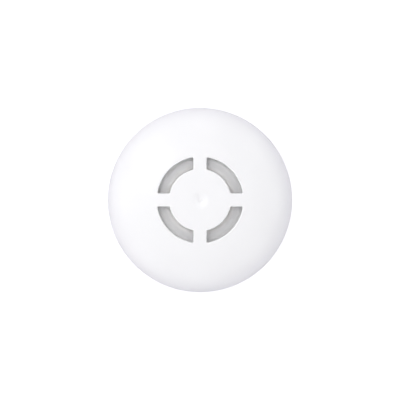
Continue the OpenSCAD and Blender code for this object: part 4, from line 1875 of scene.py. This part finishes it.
@dataclass
class Wirework(Assembly):
    """Every coil in the detector, grown with one tree."""

    contact_spots: tuple[Spot, ...] = ((-6.2, 1.75), (7.9, 1.75))
    contact_wire: float = 0.15
    contact_tip: float = 0.52
    spring_wire: float = 0.22
    wire: float = 0.25
    antenna_radius: float = 2.0
    press: float = 0.6

    def starts(self, name: str, spots: Sequence[Point]) -> Object:
        """Make an object of loose points, given in millimetres, that coils grow from.

        Args:
            name: the object's name.
            spots: the points.

        Returns:
            The object.
        """
        mesh = bpy.data.meshes.new(name)
        mesh.from_pydata([tuple(c * MM for c in p) for p in spots], [], [])
        return linked(name, mesh)

    def coil(
        self, node: str, spots: Sequence[Point], turns: float, radii: Spot, height: float, wire: float,
        tilt: Point = (0.0, 0.0, 0.0),
    ) -> Object:
        """Grow the coils that stand for one CAD node.

        Args:
            node: the CAD node's name.
            spots: where the coils start, in millimetres.
            turns: how many turns each has.
            radii: the first and last radius, in millimetres.
            height: the length between the wire's middles, in millimetres.
            wire: the wire's radius, in millimetres.
            tilt: how the coils are turned.

        Returns:
            The finished piece.
        """
        piece = grown(
            self.starts(f"fine_{node}", spots), self.growths.coils, Turns=turns, First_radius=radii[0] * MM,
            Last_radius=radii[1] * MM, Height=height * MM, Wire_radius=wire * MM, Tilt=tilt,
            Finish=self.palette.of_node(node)[1],
        )
        smoothed(piece, 60.0)
        return self.placed(piece, node)

    def modelled(self) -> list[Object]:
        """Grow every coil.

        Returns:
            The finished pieces.
        """
        along_x = (0.0, math.pi / 2, 0.0)
        low, high = span("return_springs")
        spots = [(*spot, low.z + self.spring_wire) for spot in SPRING_SPOTS]
        reach = high.z - low.z - 2 * self.spring_wire
        springs = self.coil("return_springs", spots, 5.0, (1.35, 1.35), reach, self.spring_wire)
        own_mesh(springs)
        low, high = span("negative_spring")
        seat = (low.x + self.wire, (low.y + high.y) / 2, (low.z + high.z) / 2)
        reach = high.x - low.x - 2 * self.wire
        cell = self.coil("negative_spring", [seat], 2.5, (3.4, 1.8), reach, self.wire, along_x)
        low, high = span("antenna_coil")
        seat = (low.x + self.wire, (low.y + high.y) / 2, high.z - self.antenna_radius)
        radii = (self.antenna_radius - self.wire, self.antenna_radius - self.wire)
        antenna = self.coil("antenna_coil", [seat], 7.0, radii, 6.5, self.wire, along_x)
        low, high = span("sounder_contacts")
        seats = [(x, y, low.z + self.contact_wire) for x, y in self.contact_spots]
        reach = high.z - low.z - self.contact_tip
        contacts = self.coil("sounder_contacts", seats, 8.0, (0.55, 0.55), reach, self.contact_wire)
        return [springs, cell, antenna, contacts]


# ---------------------------------------------------------------------------
# Studio
# ---------------------------------------------------------------------------


@dataclass(frozen=True)
class Softbox:
    """A square softbox that faces the detector and hides from the camera."""

    name: str
    azimuth: float
    elevation: float
    power: float
    distance: float = 1.6
    size: float = 0.8

    def hang(self) -> None:
        """Hang the softbox."""
        turn, lift = math.radians(self.azimuth), math.radians(self.elevation)
        out = Vector((math.cos(lift) * math.cos(turn), math.cos(lift) * math.sin(turn), math.sin(lift)))
        light = bpy.data.lights.new(self.name, "AREA")
        light.shape = "SQUARE"
        light.size = self.size
        light.energy = self.power
        lamp = bpy.data.objects.new(self.name, light)
        lamp.location = out * self.distance
        lamp.rotation_euler = (-out).to_track_quat("-Z", "Y").to_euler()
        lamp.visible_camera = False
        bpy.context.scene.collection.objects.link(lamp)


@dataclass
class Studio:
    """A pale table in a light tent, and a camera straight above the detector."""

    across: float = 0.461
    table_reach: float = 10.0
    table_hole: float = 0.024
    table_level: float = -0.0001
    table_sides: int = 64
    table_colour: Colour = (0.54, 0.525, 0.59)
    table_glow: float = 0.68
    waist: float = 0.011
    focal: float = 600.0
    film: float = 36.0
    under_light: float = 0.75
    tent: float = 0.08
    low_ring: tuple[float, float, float] = (22.0, 5.1, 180.0)
    high_ring: tuple[float, float, float] = (55.0, 1.37, 180.0)
    lean: float = 0.035
    boxes: int = 8
    key: Softbox = Softbox("key", 144, 52, 5.2, 1.6, 0.5)

    def ring_of_boxes(self, name: str, elevation: float, power: float, toward: float) -> None:
        """Hang a ring of softboxes round the tent, stronger on one side.

        Args:
            name: the ring's name.
            elevation: how high it hangs, in degrees.
            power: the average power of a box, in watts.
            toward: the azimuth of the strong side, in degrees.
        """
        for i in range(self.boxes):
            azimuth = 360 * i / self.boxes
            share = 1 + self.lean * math.cos(math.radians(azimuth - toward))
            Softbox(f"{name}_{i}", azimuth, elevation, power * share).hang()

    def table(self) -> Object:
        """Make the pale table, open under the detector so that its back is lit too.

        It glows white to the camera and is clear from below.

        Returns:
            The table.
        """
        mesh = bpy.data.meshes.new("table")
        sides = self.table_sides
        rims = [
            (*spot, self.table_level)
            for reach in (self.table_hole, self.table_reach)
            for spot in arc((0, 0), reach, 0, math.tau, sides)
        ]
        quads = [(i, i + sides, (i + 1) % sides + sides, (i + 1) % sides) for i in range(sides)]
        mesh.from_pydata(rims, [], quads)
        table = linked("table", mesh)
        material = bpy.data.materials.new("table_white")
        material.use_nodes = True
        tree = material.node_tree
        tree.nodes.clear()
        bench = NodeBench(tree)
        pale = bench.out("ShaderNodeBsdfDiffuse", Color=(*self.table_colour, 1.0))
        glow = bench.out("ShaderNodeEmission", Color=(1, 1, 1, 1), Strength=self.table_glow)
        both = bench.out("ShaderNodeAddShader", i0=pale, i1=glow)
        seen = bench.add("ShaderNodeLightPath").outputs["Is Camera Ray"]
        front = bench.out("ShaderNodeMixShader", i0=seen, i1=pale, i2=both)
        clear = bench.out("ShaderNodeBsdfTransparent")
        behind = bench.add("ShaderNodeNewGeometry").outputs["Backfacing"]
        final = bench.out("ShaderNodeMixShader", i0=behind, i1=front, i2=clear)
        sink = bench.add("ShaderNodeOutputMaterial")
        bench.feed(sink.inputs["Surface"], final)
        mesh.materials.append(material)
        table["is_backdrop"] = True
        return table

    def sky(self) -> None:
        """Fill the tent with an even light, stronger below the table; its wall is white to the camera."""
        world = bpy.data.worlds.new("tent")
        world.use_nodes = True
        bench = NodeBench(world.node_tree)
        seen = bench.add("ShaderNodeLightPath").outputs["Is Camera Ray"]
        way = bench.add("ShaderNodeTexCoord").outputs["Generated"]
        up = bench.add("ShaderNodeSeparateXYZ", i0=way).outputs[2]
        glow = bench.band(up, -0.02, 0.0, self.under_light, self.tent)
        backdrop = world.node_tree.nodes["Background"]
        backdrop.inputs["Color"].default_value = (1.0, 1.0, 1.0, 1.0)
        bench.feed(backdrop.inputs["Strength"], bench.maths("MAXIMUM", seen, glow))
        bpy.context.scene.world = world

    def camera(self) -> None:
        """Stand a long lens straight above the detector, framed on its widest line."""
        low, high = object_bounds()
        lens = bpy.data.cameras.new("overhead")
        lens.lens = self.focal
        lens.sensor_width = self.film
        width = (high[0] - low[0]) / self.across
        distance = width * self.focal / self.film
        lens.clip_start = 0.1
        lens.clip_end = 50.0
        eye = bpy.data.objects.new("overhead", lens)
        eye.location = ((low[0] + high[0]) / 2, (low[1] + high[1]) / 2, self.waist + distance)
        bpy.context.scene.collection.objects.link(eye)
        bpy.context.scene.camera = eye

    def build(self) -> None:
        """Set up the table, the lamps, the tent and the camera."""
        self.table()
        self.ring_of_boxes("low", *self.low_ring)
        self.ring_of_boxes("high", *self.high_ring)
        self.key.hang()
        self.sky()
        self.camera()
        view = bpy.context.scene.view_settings
        view.view_transform = "Standard"
        view.look = "None"


def main() -> None:
    """Build the detector and its studio, and report each piece."""
    logging.basicConfig(level=logging.INFO, format="%(message)s")
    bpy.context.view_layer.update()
    growths = Growths()
    palette = Palette(Effects())
    kinds = (
        FrontCover, RearHousing, WallPlate, SounderDeck, SensingChamber, Electronics, Battery, MovingStems,
        Fasteners, Wirework,
    )
    for kind in kinds:
        for piece in kind(growths, palette).build():
            LOG.info("%s: %s, %d faces", kind.__name__, piece.name, len(piece.data.polygons))
    Studio().build()


if __name__ == "__main__":
    main()
